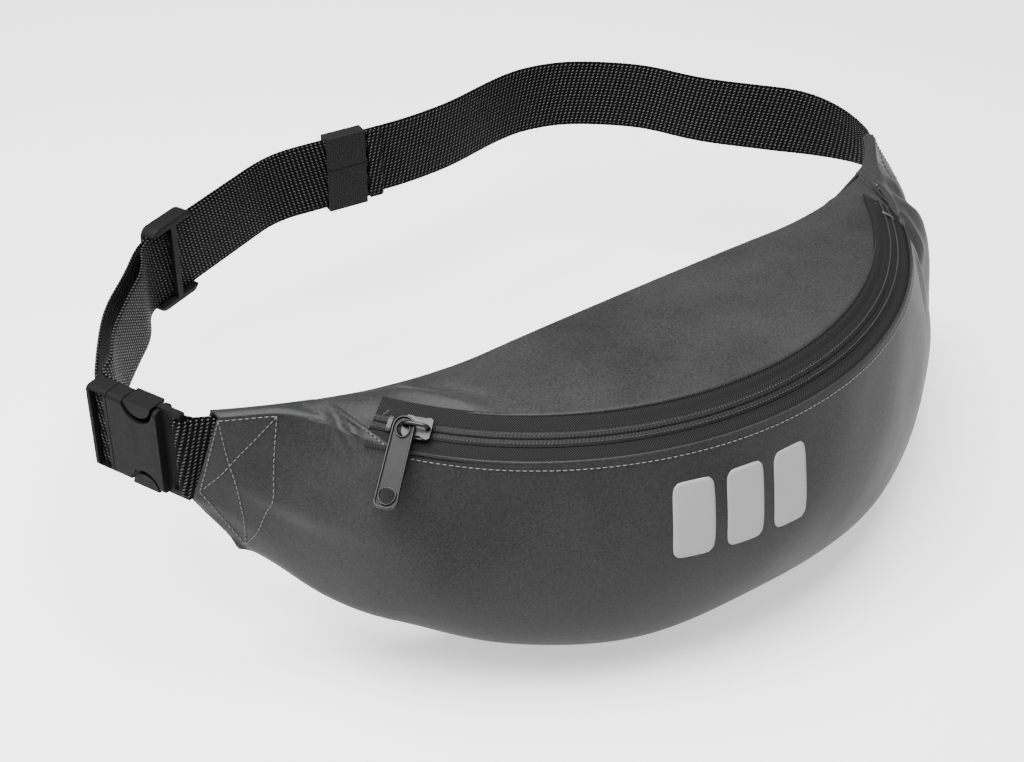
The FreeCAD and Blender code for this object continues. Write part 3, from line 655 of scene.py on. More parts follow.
def ease_along(grid, xs, first, rounds):
    """Evens out the rows from first on along the bag, towards its ends."""
    reach = np.abs(xs)
    share = np.clip((reach - EASE_FROM) / 12.0, 0, 1) * np.clip((EASE_TO - reach) / 3.0, 0, 1)
    share = share[1:-1, None, None] * 0.5
    top = grid[:, first].copy()
    for _ in range(rounds):
        part = grid[:, first:]
        part[1:-1] += share * ((part[:-2] + part[2:]) / 2 - part[1:-1])
    moved = grid[:, first] - top
    fade = np.linspace(0, 1, first, endpoint=False)[None, :, None]
    grid[:, :first] += moved[:, None] * fade


def ease_across(grid, xs, first, rounds, low):
    """Evens out each wing's columns across their height."""
    share = np.clip((np.abs(xs) - low) / 15.0, 0, 1)[:, None, None] * 0.5
    for _ in range(rounds):
        part = grid[:, first:]
        part[:, 1:-1] += share * ((part[:, :-2] + part[:, 2:]) / 2 - part[:, 1:-1])


def front_stations():
    ends = [side * (start + off) for side, start in CAP_STARTS.items() for off in (-0.3, 0.1)]
    return np.unique(np.round(np.concatenate([stations(WING_END, 1.5), ends]), 3))


def edge_fade(columns, first=0, last=0):
    """Rises from nothing at the first and last rows to one, eight rows in."""
    count = np.arange(columns)
    return np.clip(np.minimum(count - first, count[::-1] - last) / 8.0, 0, 1)


WING_TURN, WING_STRETCH, WING_FULLNESS = 150.0, 1.22, 9.0
LEAN_FROM, LEAN_BACK, LEAN_FRONT = 140.0, 75.0, -100.0


def turned_wing(points, full=0.0):
    """Bends the right wing round the hip along the belt's path, leans it, and rounds it out by full."""
    flat = points.reshape(-1, 3).copy()
    pick = np.where(flat[:, 0] > WING_TURN)[0]
    path = right_run()
    steps = run_lengths(path)
    for k in pick:
        x, y, z = flat[k]
        stretch = back_stretch(x)
        bends = [back_stretch(v) for v in np.linspace(WING_TURN, x, 12)]
        along = (x - WING_TURN) * float(np.mean(bends)) + (WING_STRETCH - 1) * max(0.0, x - 158.0) * stretch
        bump = math.exp(-((x - 159.0) / 11.0) ** 2 - ((z - 4.0) / 16.0) ** 2) * clamp((21.0 - z) / 7.0)
        away = (back_line(x) - y) / stretch + full * bump
        spot = path_at(path, steps, along)
        run = unit(path_at(path, steps, along + 1) - spot)
        turned = spot + np.array([run[1], -run[0]]) * away
        share = min(1.0, (x - WING_TURN) / 10.0)
        flat[k, :2] = np.array([x, y]) * (1 - share) + turned * share
    return leaned(flat).reshape(points.shape)


def lean_angle(along):
    """How far the belt and the wing lean, bottom outwards, at a distance along the belt."""
    rise = np.clip((along - 8.0) / 46.0, 0, 1)
    fall = np.clip((128.0 - along) / 62.0, 0, 1)
    return math.radians(27.0) * smooth(rise) * smooth(fall)


def leaned(points):
    """Turns whatever lies on the right end of the belt about the belt's middle line."""
    out = points.copy()
    path = right_run()
    runs = np.gradient(path, axis=0)
    runs /= norm(runs, axis=1, keepdims=True)
    steps = run_lengths(path)
    x, y = points[:, 0], points[:, 1]
    for k in np.where((x > LEAN_FROM) & (y > LEAN_FRONT) & (y < LEAN_BACK))[0]:
        gap = np.hypot(path[:, 0] - x[k], path[:, 1] - y[k])
        i = int(np.argmin(gap))
        turn = float(lean_angle(steps[i]))
        outward = np.array([runs[i, 1], -runs[i, 0]])
        away = float((points[k, :2] - path[i]) @ outward)
        z = max(points[k, 2], -19.0)
        moved = away * math.cos(turn) - z * math.sin(turn)
        out[k, :2] = points[k, :2] + outward * (moved - away)
        out[k, 2] += z * (math.cos(turn) - 1) + away * math.sin(turn)
    return out


# Soft folds: from, to, half width, height (sunk if negative), how far each end tapers.
FRONT_CREASES = [
    ((-147.5, -90, 21), (-152, -114, 7), 2.4, 1.7, (0.1, 0.6)),
    ((-142.5, -90, 22), (-147, -112, 10), 2.4, -1.4, (0.1, 0.5)),
    ((-155, -88, 20), (-160, -108, 2), 4.5, -0.9, (0.1, 0.6)),
    ((-150, -110, 12), (-150, -130, -14), 6.0, 0.9, (0.3, 0.6)),
    ((-160, -98, 0), (-168, -98, -30), 7.0, 0.7, (0.4, 0.5)),
    ((152, -88, 20.5), (145, -118, 14), 2.6, 1.7, (0.1, 0.4)),
    ((147, -92, 21.5), (141.5, -121, 16), 2.2, -1.3, (0.1, 0.4)),
    ((151, -104, 15), (150, -130, -14), 3.0, 1.6, (0.2, 0.5)),
    ((146, -118, 12), (141, -142, -18), 3.0, -1.4, (0.2, 0.5)),
    ((141, -124, 13), (133, -149, -16), 3.0, 1.2, (0.2, 0.6)),
    ((133, -133, 13), (122, -158, -18), 3.6, -0.9, (0.2, 0.6)),
    ((158, -90, 17), (166, -95, -12), 3.8, -1.5, (0.1, 0.5)),
    ((163, -85, 17), (173, -86, -16), 3.0, 1.1, (0.2, 0.5)),
]
TOP_CREASES = [
    ((-127, -96, 25), (-101, -139, 27.5), 3.6, 1.5, (0.2, 0.4)),
    ((-119, -96, 25.5), (-97, -134, 28), 4.0, -1.1, (0.2, 0.4)),
    ((-108, -98, 26), (-80, -126, 29), 6.0, 0.7, (0.3, 0.5)),
    ((128, -91, 24), (101, -122, 28), 5.0, 1.0, (0.2, 0.4)),
    ((119, -94, 25), (96, -118, 28), 5.0, -0.9, (0.2, 0.4)),
]


def make_front_panel(material):
    xs = front_stations()
    grid = np.array([front_column(x) for x in xs])
    ease_along(grid, xs, CAP_ROWS, 60)
    ease_across(grid, xs, CAP_ROWS, 8, 150.0)
    normals = -grid_normals(grid)
    edge = edge_fade(grid.shape[1], CAP_ROWS, HEM_ROWS)
    grid += normals * (ripples(grid, 46.0, 3) * 0.35 * edge)[..., None]
    for fold in FRONT_CREASES:
        crease(grid, normals, *fold)
    piece = shell("front_panel_cloth", turned_wing(grid, WING_FULLNESS), FABRIC, -1)
    finish_piece(piece, "bag", material, ["front_panel", "zip_end_tab_left", "zip_end_tab_right"])
    return grid


def make_top_panel(material):
    rows = []
    columns = 40
    for x in stations(150.5, 1.4):
        share = abs(x) / 141.2
        back = (back_line(x) - 0.6, 25.6 - 3.2 * share ** 2)
        front = (zip_edge(TOP_ARC, min(abs(x), TOP_STRAIGHT)), 28.0 - 4.2 * share ** 6)
        if abs(x) > TOP_STRAIGHT:
            edge_y = front[0] + (abs(x) - TOP_STRAIGHT) * 0.1
            sink = 0.7 - 0.35 * max(0.0, abs(x) - 141.0)
            beyond = math.hypot(x, edge_y - ZIP_CENTRE[1]) - ZIP_ARC
            front = (edge_y, min(front[1], ZIP_CENTRE[2] - beyond * math.tan(ZIP_SLOPE) + sink))
        wide = (back[0] - front[0]) / 80.0
        crown = ((back[0] + front[0]) / 2, (back[1] + front[1]) / 2 + 4.6 * wide)
        rows.append(at_station(x, spline([back, crown, front], columns)))
    grid = np.array(rows)
    normals = grid_normals(grid)
    grid -= normals * (ripples(grid, 52.0, 5) * 0.5 * edge_fade(columns))[..., None]
    for fold in TOP_CREASES:
        crease(grid, -normals, *fold)
    piece = shell("top_panel_cloth", grid, FABRIC, -1)
    finish_piece(piece, "bag", material, ["top_panel"])


def back_section(x):
    outer = wing_share(x) * (WING_GAP + 1.2)
    seam_y, seam_z = bottom_seam(x)
    top_z = 25.0 - 5.0 * min(1.0, abs(x) / 150.0) ** 3
    return [(back_line(x) + outer, top_z), (seam_y + outer, seam_z)]


REAR_TOP = np.array([0.0, -98.0, 25.0])
REAR_DOWN = np.array([0.0, -13.0, -115.0]) / math.hypot(13, 115)
REAR_OUT = np.cross([1.0, 0, 0], REAR_DOWN)
REAR_ORIGIN = REAR_TOP + REAR_DOWN * 23.0


def make_back_panel(material):
    columns = 61
    xs = np.unique(np.concatenate([stations(WING_END, 2.0), [-75.0, 75.0]]))
    grid = np.array([slanted_end(x, back_section, columns) for x in xs])
    ease_along(grid, xs, 0, 30)
    height = (grid - REAR_ORIGIN) @ REAR_DOWN
    in_slot = (np.abs(height) < 6.6) & (np.abs(grid[:, :, 0]) < 75.5)
    skip = in_slot[:-1, :-1] & in_slot[1:, :-1] & in_slot[:-1, 1:] & in_slot[1:, 1:]
    normals = grid_normals(grid)
    calm = np.clip((np.abs(height) - 9) / 14, 0, 1)
    calm = np.where(np.abs(grid[:, :, 0]) > 88, 1.0, calm)
    edge = edge_fade(columns)
    bulge = np.cos(np.clip(grid[:, :, 0] / 150, -1, 1) * np.pi / 2)
    grid -= normals * ((ripples(grid, 44.0, 8) * 0.45 + 0.6 * bulge) * edge * calm)[..., None]
    piece = shell("back_panel_cloth", turned_wing(grid), FABRIC, 1, skip)
    drop_loose(piece)
    finish_piece(piece, "bag", material, ["back_panel"])


# ---------------------------------------------------------------- zips

def arc_frame(angle):
    """Place on the main zip's arc and its directions along, down the slope and outwards."""
    radial = np.array([math.sin(angle), -math.cos(angle), 0.0])
    down = radial * math.cos(ZIP_SLOPE) - UP * math.sin(ZIP_SLOPE)
    out = radial * math.sin(ZIP_SLOPE) + UP * math.cos(ZIP_SLOPE)
    return ZIP_CENTRE + radial * ZIP_ARC, np.cross(down, out), down, out


def straight_frame(place):
    base = REAR_ORIGIN - REAR_OUT * 2.05
    return base + np.array([place, 0.0, 0.0]), np.array([1.0, 0, 0]), REAR_DOWN, REAR_OUT


def sweep_zip(name, frame_at, places, profile, wave=None):
    """Closed strip along a zip: profile lists (across, out) corners of a section."""
    points, flat = [], []
    start, length = None, 0.0
    for place in places:
        origin, _, down, out = frame_at(place)
        if start is not None:
            length += float(norm(origin - start))
        start = origin
        lift = 0.0 if wave is None else wave(length)
        for across, height, moves in profile:
            points.append(origin + down * across + out * (height + lift * moves))
            flat.append((length, across))
    return fix_normals(new_piece(name, points, ring_faces(len(places), len(profile)), flat))


def tape_profile(side, near, far):
    top = [(near, 0.35), (near + 0.5, 0.42), (3.3, 0.4), (5.0, 0.38), (7.5, 0.42), (far, 0.35)]
    low = [(far, -0.35), (near, -0.35)]
    return [(side * across, height, 0.0) for across, height in top + low]


def coil_profile(side):
    """Rolled edge of the tape over the coil."""
    top = [(0.02, 0.3), (0.04, 0.6), (0.3, 0.85), (1.0, 0.95),
           (1.8, 0.92), (2.5, 0.82), (3.1, 0.6), (3.5, 0.38)]
    return [(side * across, height, max(0.0, height - 0.5) / 0.8) for across, height in top]


COIL_PITCH = 1.5


def make_zip(prefix, frame_at, places, fine_places, tape, coil, thread, outer):
    frames = [frame_at(place) for place in places]
    outs = [out for *_, out in frames]
    for name, side in (("upper", -1), ("lower", 1)):
        strip = sweep_zip(f"{prefix}_tape_{name}", frame_at, places, tape_profile(side, 0.1, outer))
        finish_piece(strip, "bag", tape, [f"{prefix}_zip_tape_{name}"], False)
        strip = sweep_zip(f"{prefix}_coil_{name}", frame_at, fine_places, coil_profile(side),
                          lambda s: 0.14 * math.sin(2 * math.pi * s / COIL_PITCH + side))
        finish_piece(strip, "bag", coil, [f"{prefix}_zip_coil_{name}"])
        route = [origin + down * side * 2.0 + out * 0.8 for origin, _, down, out in frames]
        look = {"spacing": COIL_PITCH, "length": 0.9, "radius": 0.22}
        make_stitches(f"{prefix}_coil_stitches_{name}", [(route, outs, look)], "bag", thread)


# ---------------------------------------------------------------- stitches

STITCH_RISE, STITCH_GIRTH = (-0.32, 0.5, 0.9, 0.5, -0.32), (0.55, 0.95, 1.0, 0.95, 0.55)
STITCH_SIDES, STITCH_LIFT = 6, 0.12


def stitch_row(route, normals, spacing=2.6, length=1.9, radius=0.24):
    """Points and faces of short thread stitches lying along a route."""
    route, normals = np.asarray(route, float), np.asarray(normals, float)
    steps = run_lengths(route)
    rings = len(STITCH_RISE)
    points, faces = [], []
    place = 0.0
    while place + length < steps[-1]:
        line = path_at(route, steps, np.linspace(place, place + length, rings))
        up = unit(path_at(normals, steps, place + length / 2))
        side = np.cross(unit(line[-1] - line[0]), up)
        faces += [tuple(len(points) + i for i in face) for face in ring_faces(rings, STITCH_SIDES)]
        for spot, high, thick in zip(line, STITCH_RISE, STITCH_GIRTH):
            for k in range(STITCH_SIDES):
                turn = k * 2 * math.pi / STITCH_SIDES
                points.append(spot + up * (STITCH_LIFT + radius * high + radius * thick * math.sin(turn))
                              + side * radius * thick * math.cos(turn))
        place += spacing
    return points, faces


def make_stitches(name, rows, body, material):
    parts = [stitch_row(route, normals, **settings) for route, normals, settings in rows]
    return finish_piece(joined(name, parts), body, material)


NEIGHBOURS = 12


class Surface:
    """Finds places on a grid by x and height, for whatever lies on it."""

    def __init__(self, grid, side):
        self.flat = grid.reshape(-1, 3)
        self.normals = (grid_normals(grid) * side).reshape(-1, 3)

    def at(self, x, z):
        gap = (self.flat[:, 0] - x) ** 2 + (self.flat[:, 2] - z) ** 2
        near = np.argpartition(gap, NEIGHBOURS)[:NEIGHBOURS]
        table = np.column_stack([np.ones(NEIGHBOURS), self.flat[near, 0] - x, self.flat[near, 2] - z])
        y = np.linalg.lstsq(table, self.flat[near, 1], rcond=None)[0][0]
        return np.array([x, y, z]), unit(self.normals[near].mean(axis=0))

    def line(self, a, b, count=40):
        a, b = np.asarray(a), np.asarray(b)
        spots = [self.at(*(a + (b - a) * share)) for share in np.linspace(0, 1, count)]
        return np.array([s for s, _ in spots]), np.array([n for _, n in spots])


WING_BOX = [(187.0, 18.6), (167.0, 18.8), (182.0, -45.0), (196.0, -16.0)]


def wing_rows(surface, side):
    """Box with crossed diagonals sewn on a wing."""
    corners = [(side * x, z) for x, z in WING_BOX]
    rows = []
    for a, b in ((0, 1), (1, 2), (2, 3), (3, 0), (0, 2), (1, 3)):
        route, ups = surface.line(corners[a], corners[b])
        if side > 0:
            raised = turned_wing(route + ups, WING_FULLNESS)
            route = turned_wing(route, WING_FULLNESS)
            ups = raised - route
        rows.append((route, ups, {}))
    return rows


def grid_route(grid, side, picks):
    """Places and normals at grid picks (station, row), row by interpolation."""
    normals = grid_normals(grid) * side
    spots, ups = [], []
    for i, row in picks:
        low = int(math.floor(row))
        part = row - low
        spots.append(grid[i, low] * (1 - part) + grid[i, low + 1] * part)
        ups.append(normals[i, low] * (1 - part) + normals[i, low + 1] * part)
    return np.array(spots), np.array(ups)


def row_at(grid, i, first, distance):
    """The row, from first on, that lies at a distance along the cloth."""
    steps = run_lengths(grid[i, first:])[1:]
    k = int(np.searchsorted(steps, distance))
    before = steps[k - 1] if k else 0.0
    return first + k + (distance - before) / (steps[k] - before)


def seam_rows(grid):
    """Topstitching below the main zip and a short row across each of its ends."""
    xs = grid[:, CAP_ROWS, 0]
    inside = [i for i in range(len(xs)) if -CAP_STARTS[-1] + 3 < xs[i] < CAP_STARTS[1] - 3]
    rows = [(*grid_route(grid, -1, [(i, row_at(grid, i, CAP_ROWS, 3.3)) for i in inside]), {})]
    for side in (-1, 1):
        i = int(np.argmin(np.abs(xs - side * (CAP_STARTS[side] + 1.6))))
        picks = [(i, row) for row in np.linspace(7.0, CAP_ROWS + 1.5, 24)]
        rows.append((*grid_route(grid, -1, picks), {"spacing": 2.2, "length": 1.6}))
    return rows


def bar_tack(name, angle, node, thread):
    """Close zigzag of thread that stops the slider at an end of the main zip."""
    rows = []
    for k in range(5):
        origin, _, down, out = arc_frame(angle + (k - 2) * 0.0022)
        line = np.array([origin + down * across + out * 1.25 for across in (-3.4, 0.0, 3.4)])
        rows.append((line, np.array([out] * 3), {"spacing": 9.0, "length": 6.6, "radius": 0.28}))
    piece = make_stitches(name, rows, "bag", thread)
    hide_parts(node)


# ---------------------------------------------------------------- printed mark

PRINT_MIDDLES = (-49.0, -26.5, -4.0)
PRINT_Z, PRINT_TALL, PRINT_WIDE, PRINT_LEAN = -13.5, 16.5, 8.6, 1.5


def make_print(surface, material):
    """Three plain leaning blocks of transfer film on the front, with rounded corners."""
    columns, rows = 9, 17
    count = rows * columns
    rim = list(range(columns)) + [j * columns + columns - 1 for j in range(1, rows)]
    rim += [(rows - 1) * columns + j for j in range(columns - 2, -1, -1)]
    rim += [j * columns for j in range(rows - 2, 0, -1)]
    faces = list(grid_faces(rows, columns)) + list(grid_faces(rows, columns, count, True))
    faces += [(a, b, b + count, a + count) for a, b in zip(rim, rim[1:] + rim[:1])]
    blocks = []
    for middle in PRINT_MIDDLES:
        points = []
        for layer in (0.16, 0.02):
            for high in np.linspace(-1, 1, rows):
                for wide in np.linspace(-1, 1, columns):
                    pull = 1 - 0.10 * (abs(wide) ** 6) * (abs(high) ** 6)
                    x = middle + (PRINT_WIDE * wide + PRINT_LEAN * high) * pull
                    spot, normal = surface.at(x, PRINT_Z + PRINT_TALL * high * pull)
                    points.append(spot + normal * layer)
        blocks.append((points, faces))
    finish_piece(joined("front_transfer_mark", blocks), "bag", material)


# ---------------------------------------------------------------- webbing

def rounded_path(points, radii, step=1.5):
    """Straight runs joined by tangent arcs, as even steps."""
    corners = [np.array(p, float) for p in points]
    dense = [corners[0]]
    for i in range(1, len(corners) - 1):
        run = corners[i] - corners[i - 1]
        following = corners[i + 1] - corners[i]
        before, after = norm(run), norm(following)
        run, following = run / before, following / after
        turn = math.atan2(run[0] * following[1] - run[1] * following[0], run @ following)
        radius = radii.get(i, 0.45 * min(before, after) / math.tan(abs(turn) / 2))
        reach = radius * math.tan(abs(turn) / 2)
        bend = 1 if turn > 0 else -1
        left = np.array([-run[1], run[0]])
        centre = corners[i] - run * reach + left * bend * radius
        first = corners[i] - run * reach - centre
        count = max(3, int(abs(turn) * radius / 0.5))
        for k in range(count + 1):
            angle = turn * k / count
            dense.append(centre + np.array([first[0] * math.cos(angle) - first[1] * math.sin(angle),
                                            first[0] * math.sin(angle) + first[1] * math.cos(angle)]))
    dense.append(corners[-1])
    dense = np.array(dense)
    dense = dense[np.concatenate([[True], norm(np.diff(dense, axis=0), axis=1) > 1e-6])]
    lengths = run_lengths(dense)
    return path_at(dense, lengths, np.linspace(0, lengths[-1], max(3, int(lengths[-1] / step))))


def smoothed(path, rounds, free=6):
    path = path.copy()
    for _ in range(rounds):
        sides = path[free - 1:-free - 1] + path[free + 1:-free + 1]
        path[free:-free] = 0.5 * path[free:-free] + 0.25 * sides
    return path


def ribbon(name, path, half_width=18.5, thickness=1.5, bend=None):
    """Webbing along a path in plan: rounded selvedges, a slight crown, and weave coordinates."""
    runs = np.gradient(path, axis=0)
    runs /= norm(runs, axis=1, keepdims=True)
    lefts = np.column_stack([-runs[:, 1], runs[:, 0]])
    half = thickness / 2
    across = np.linspace(-half_width + 0.7, half_width - 0.7, 15)
    face = [(z, half * (1.0 if 0 < k < 14 else 0.9)) for k, z in enumerate(across)]
    selvedge = [(half_width - 0.2, half * 0.6), (half_width, 0.0), (half_width - 0.2, -half * 0.6)]
    section = face + selvedge + [(z, -out) for z, out in reversed(face)]
    section += [(-z, -out) for z, out in selvedge]
    points, flat = [], []
    for spot, left, step in zip(path, lefts, run_lengths(path)):
        for z, offset in section:
            points.append((*(spot + left * offset), z))
            flat.append((step, z + 40.0))
    points = np.array(points)
    faces = ring_faces(len(path), len(section))
    return fix_normals(new_piece(name, points if bend is None else bend(points), faces, flat))


SPLIT = np.array([-210.5, -24.0])
BUCKLE_AXIS = np.array([-0.35, 0.9367]) / math.hypot(0.35, 0.9367)
BUCKLE_IN = np.array([BUCKLE_AXIS[1], -BUCKLE_AXIS[0]])
KEEPER_RUN, GLIDE_RUN = np.array([-0.9918, 0.1279]), np.array([-0.9311, -0.3647])
CORNER, GLIDE_END, FOLD = np.array([-59.1, 107.7]), np.array([-149.0, 72.4]), np.array([-1.0, 100.18])
PITCH = 2.0
HIP = (131.3, 89.3)


def on_buckle(u, q):
    return tuple(SPLIT + BUCKLE_AXIS * u + BUCKLE_IN * q)


def beside(point, runs, distance):
    normals = [np.array([-run[1], run[0]]) / norm(run) for run in runs]
    bisector = unit(normals[0] + normals[-1])
    return tuple(np.asarray(point) + bisector * distance / (bisector @ normals[0]))


@functools.lru_cache(maxsize=None)
def right_run():
    """The belt's middle line from inside the right wing to behind the hip."""
    start = [(x, back_line(x)) for x in (150.0, 158.0, 166.0, 174.0, 182.0, 190.0)]
    corners = start + [(202.0, -50.0), (206.0, -30.0), (198.0, -2.0), (180.0, 20.0), (160.0, 45.0),
                       (149.0, 72.0), HIP]
    return smoothed(rounded_path(corners, {}, 1.0), 60)


def make_belt(web):
    right = right_run()[15:-12]
    back = [HIP, (116.0, 101.5), (92.0, 108.5), (68.0, 105.0), (42.0, 99.0), (12.0, 98.5),
            tuple(CORNER), tuple(GLIDE_END), (-163.0, 55.0), (-186.0, 33.0), (-201.0, 9.0),
            on_buckle(14.0, 4.2), on_buckle(8.0, 3.3), on_buckle(8.0, -2.7), on_buckle(5.5, -2.7)]
    path = rounded_path([tuple(right[-1])] + back, {6: 120.0, 7: 50.0, 13: 0.9, 14: 0.9})
    path = np.vstack([right[:-1], path])
    path[:-24] = smoothed(path, 30)[:-24]
    belt = ribbon("belt_webbing", path, bend=leaned)
    finish_piece(belt, None, web, ["belt_right", "belt_back"])
    inner = [beside(GLIDE_END, [GLIDE_RUN], PITCH), beside(CORNER, [GLIDE_RUN, KEEPER_RUN], PITCH),
             beside(FOLD, [KEEPER_RUN], PITCH), beside(FOLD, [KEEPER_RUN], PITCH + 1.8),
             beside((-8.0, 101.08), [KEEPER_RUN], PITCH + 1.8)]
    tail = [on_buckle(5.5, -2.7), on_buckle(3.0, -2.7), on_buckle(3.0, 6.2), on_buckle(14.0, 7.2),
            (-200.5, -2.0), (-191.0, 15.0), (-176.0, 32.0), (-157.0, 51.5)]
    path = rounded_path(tail + inner, {1: 0.9, 2: 0.9, 9: 48.0, 10: 0.88, 11: 0.88}, 1.0)
    fold = ribbon("belt_return_webbing", path)
    finish_piece(fold, "belt", web, ["belt_return"])
    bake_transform(belt)


def forward(run):
    """The direction square to a run in plan that points to the bag's front."""
    square = np.array([run[1], -run[0]])
    return -square if square[1] > 0 else square


def make_buckle_webbing(web):
    root = np.array([-165.0, back_line(165.0)])
    tip = np.array([-194.0, back_line(194.0)])
    front = forward(unit(tip - root))
    centre = np.array(on_buckle(-34.7, 0))
    axis = unit(centre - tip)
    side = forward(axis)
    path = [root + front * 0.95, tip + front * 0.95, centre + side * 2.7 - axis * 0.6,
            centre + side * 2.7 + axis * 2.6, centre - side * 2.7 + axis * 2.6,
            centre - side * 2.7 - axis * 0.6, tip - front * 0.95, root - front * 0.95]
    path = rounded_path(path, {1: 3.0, 2: 2.5, 3: 2.0, 4: 2.0, 5: 2.5, 6: 3.0}, 0.8)
    piece = ribbon("buckle_loop_webbing", path)
    finish_piece(piece, "bag", web, ["buckle_webbing"])


# ---------------------------------------------------------------- hard parts

def polished(node, body, material, edge, segments=3):
    """A copy of a moulded or cast part with its edges rounded."""
    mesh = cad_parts[node].data.copy()
    piece = bpy.data.objects.new(node + "_part", mesh)
    bpy.context.scene.collection.objects.link(piece)

    def clean(work):
        bmesh.ops.remove_doubles(work, verts=work.verts, dist=1e-6)
        bmesh.ops.dissolve_limit(work, angle_limit=math.radians(1.0), verts=work.verts, edges=work.edges)

    finish_piece(edit_mesh(piece, clean), body, material, [node])
    round_edges(piece, edge, segments)


def in_frame(place, a, b, c):
    origin, along, down, out = place
    return origin + along * a + down * b + out * c


def plate(place, outline, low, high):
    """Points and faces of a flat slab with that outline in a local frame."""
    points = [in_frame(place, a, b, level) for level in (low, high) for a, b in outline]
    n = len(outline)
    faces = [tuple(range(n))[::-1], tuple(range(n, 2 * n))]
    faces += [(k, (k + 1) % n, (k + 1) % n + n, k + n) for k in range(n)]
    return points, faces


def wire(route, radius, flatten, up, closed=False, sides=10):
    """Points and faces of a round or flattened wire along a route."""
    route = np.asarray(route, float)
    runs = np.gradient(route, axis=0)
    if closed:
        runs = np.roll(route, -1, axis=0) - np.roll(route, 1, axis=0)
    points = []
    for spot, run in zip(route, runs):
        side = unit(np.cross(run, up))
        rise = np.cross(side, unit(run))
        for k in range(sides):
            turn = 2 * math.pi * k / sides
            points.append(spot + side * radius * math.cos(turn) + rise * radius * flatten * math.sin(turn))
    return points, ring_faces(len(route), sides, closed)


def shield(grow=0.0):
    """Outline of the slider's waisted plate."""
    half = [(6.2, 1.0), (6.2, 3.9), (5.0, 4.75), (3.4, 4.6), (1.8, 3.75), (0.2, 3.75),
            (-2.6, 4.6), (-4.6, 4.7), (-5.8, 3.4), (-6.2, 1.6)]
    half = [(a, b + grow) for a, b in half]
    return half + [(a, -b) for a, b in reversed(half)]


def make_slider(prefix, place, metal):
    """Die-cast slider: two waisted plates, side lips and an arched bridge."""
    lips = []
    for side in (1, -1):
        edge = [(-5.0, side * 4.75), (5.0, side * 4.75), (5.0, side * 3.75), (-5.0, side * 3.75)]
        lips.append(plate(place, edge, 0.75, 3.0))
    flip = (place[0], -place[1], place[2], place[3])
    rise = [(4.7, 3.6), (4.75, 5.2), (4.3, 6.5), (3.2, 7.15), (1.4, 7.35)]
    arch = [(-a, c) for a, c in rise] + rise[::-1]
    line = spline([in_frame(place, a, 0, c) for a, c in arch], 40)
    bridge = wire(line, 1.05, 0.8, place[2])
    parts = [plate(flip, shield(), 2.75, 3.95), plate(flip, shield(-0.2), -1.9, -0.8), bridge] + lips
    piece = joined(f"{prefix}_slider_casting", parts)
    finish_piece(piece, f"{prefix}_slider", metal, [f"{prefix}_zip_slider"])
    round_edges(piece, 0.32)


def puller_outline(inset):
    half, reach, eye = 4.75 - inset, 34.5 - inset, 1.4
    arc = [((4.4 - inset) * math.cos(t), eye + (4.4 - inset) * math.sin(t))
           for t in np.linspace(math.pi, 2 * math.pi, 15)]
    low = [(half, reach - 2.0), (half * 0.86, reach - 0.7), (half * 0.5, reach - 0.15), (0, reach)]
    return arc + low + [(-a, b) for a, b in reversed(low[:-1])]


def oval(centre, half_wide, top_round, low_round):
    turns = np.linspace(0, 2 * math.pi, 28, endpoint=False)
    return [(half_wide * math.cos(t), centre + math.sin(t) * (low_round if math.sin(t) > 0 else top_round))
            for t in turns]


EYE, THUMB_HOLE = (2.4, 2.75, 3.4, 3.2), (28.9, 3.5, 2.6, 4.1)


def make_puller(prefix, place, dip, body_metal, rim_metal):
    """Flat tab with a raised bright rim, an oval eye and a thumb hole at its free end."""
    origin, along, down, out = place
    turn = math.radians(-dip)
    lean_down = down * math.cos(turn) + np.cross(along, down) * math.sin(turn)
    lean_out = out * math.cos(turn) + np.cross(along, out) * math.sin(turn)
    frame_at = (origin + along * 4.5 + out * 5.1, along, lean_down, lean_out)
    polished(f"{prefix}_zip_puller", f"{prefix}_puller", body_metal, 0.15, 2)
    rims = []
    for path, radius in ((puller_outline(0.25), 0.42), (oval(*EYE), 0.3), (oval(*THUMB_HOLE), 0.34)):
        for level in (1.15, 0.05):
            route = [in_frame(frame_at, a, b, level) for a, b in path]
            rims.append(wire(route, radius, 0.8, lean_out, True, 8))
    piece = joined(f"{prefix}_puller_rims", rims)
    finish_piece(piece, f"{prefix}_puller", rim_metal)


# ---------------------------------------------------------------- the object

MAIN_SLIDER, REAR_SLIDER = math.radians(-52.7), 64.0
STOPS = (("left", -0.992), ("right", 0.962))

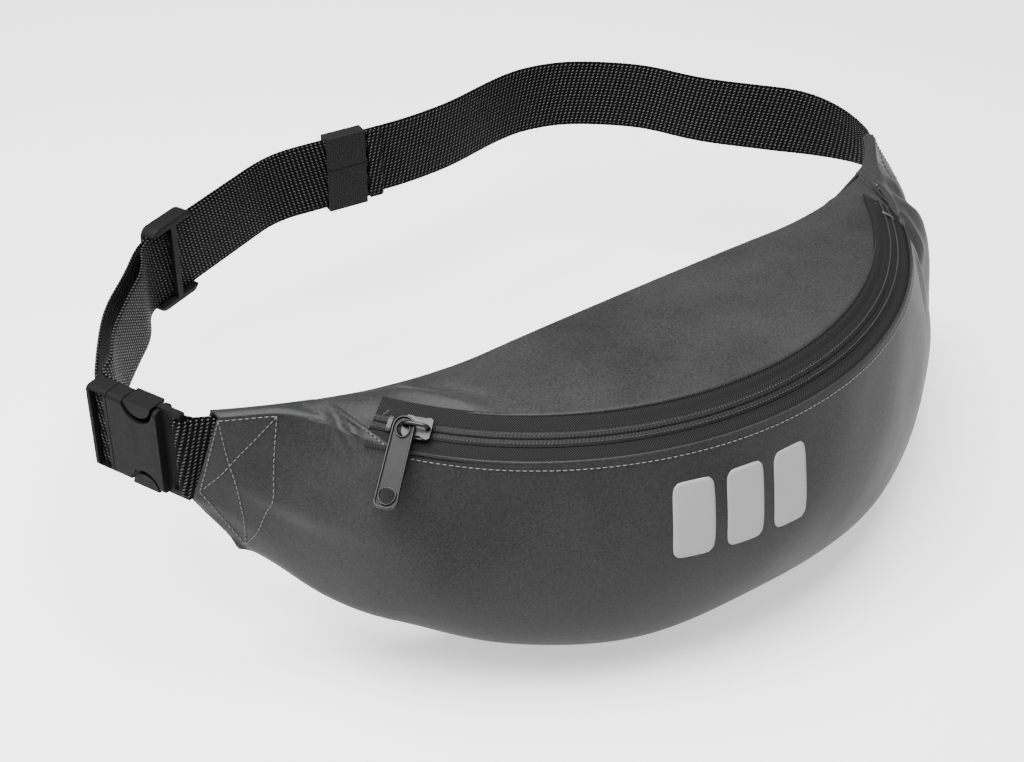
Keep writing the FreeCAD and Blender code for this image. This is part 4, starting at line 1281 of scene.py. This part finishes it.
make_camera()
make_studio()
cloth, web, tape = fabric_material(), webbing_material(), tape_material()
acetal, elastic = plastic_material(), elastic_material()
lining = grained_material("lining", 0.7, 0.5, (900, 2.0), (0.012, 0.013), (0.03, 0.031),
                          (1500, 1.0), 0.4, 0.0002)
coil = grained_material("zip_coil", 0.55, 0.08, (700, 2.0), (0.002, 0.0021), (0.009, 0.0093),
                        (1800, 1.0), 0.3, 0.00015)
film = grained_material("transfer_film", 0.5, 0.4, (1500, 2.0), (0.16, 0.16), (0.2, 0.2),
                        (2400, 1.0), 0.2, 0.0001)
grey_thread, black_thread, dark_thread = (
    grained_material(f"{name}_thread", 0.55, 0.5, (3000, 1.0), (low, low), (high, high),
                     (3000, 1.0), 0.5, 0.00015)
    for name, low, high in (("grey", 0.03, 0.09), ("black", 0.01, 0.03), ("dark", 0.005, 0.018)))
dark_metal = metal_material("gunmetal", (0.009, 0.0092), (0.018, 0.0183), 0.45)
bright_metal = metal_material("bright_zinc", (0.014, 0.014), (0.032, 0.032), 0.34)

front_grid = make_front_panel(cloth)
make_top_panel(cloth)
make_back_panel(cloth)
front = Surface(front_grid[:, CAP_ROWS:-HEM_ROWS], -1)

for prefix, frame_at, half, plain, fine, outer in (("main", arc_frame, math.radians(59.4), 260, 1100, 10.8),
                                                   ("rear", straight_frame, 76.0, 100, 480, 9.5)):
    make_zip(prefix, frame_at, np.linspace(-half, half, plain), np.linspace(-half, half, fine),
             tape, coil, dark_thread, outer)

make_belt(web)
make_buckle_webbing(web)

for node, body in (("female_buckle", "bag"), ("male_buckle", "belt"), ("buckle_arm_upper", "arm_upper"),
                   ("buckle_arm_lower", "arm_lower"), ("tri_glide", "glide")):
    polished(node, body, acetal, 0.6)
polished("keeper_loop", "keeper", elastic, 0.4)
for prefix, place, dip in (("main", arc_frame(MAIN_SLIDER), 5), ("rear", straight_frame(REAR_SLIDER), 2)):
    make_slider(prefix, place, bright_metal)
    make_puller(prefix, place, dip, dark_metal, bright_metal)
for name, angle in STOPS:
    bar_tack(f"zip_bar_tack_{name}", angle, f"main_zip_stop_{name}", black_thread)
    polished(f"rear_zip_stop_{name}", "bag", tape, 0.2, 2)
polished("rear_pocket_pouch", "bag", lining, 1.5)

make_stitches("wing_stitches", wing_rows(front, -1) + wing_rows(front, 1), "bag", grey_thread)
make_stitches("zip_topstitches", seam_rows(front_grid), "bag", grey_thread)
make_print(front, film)
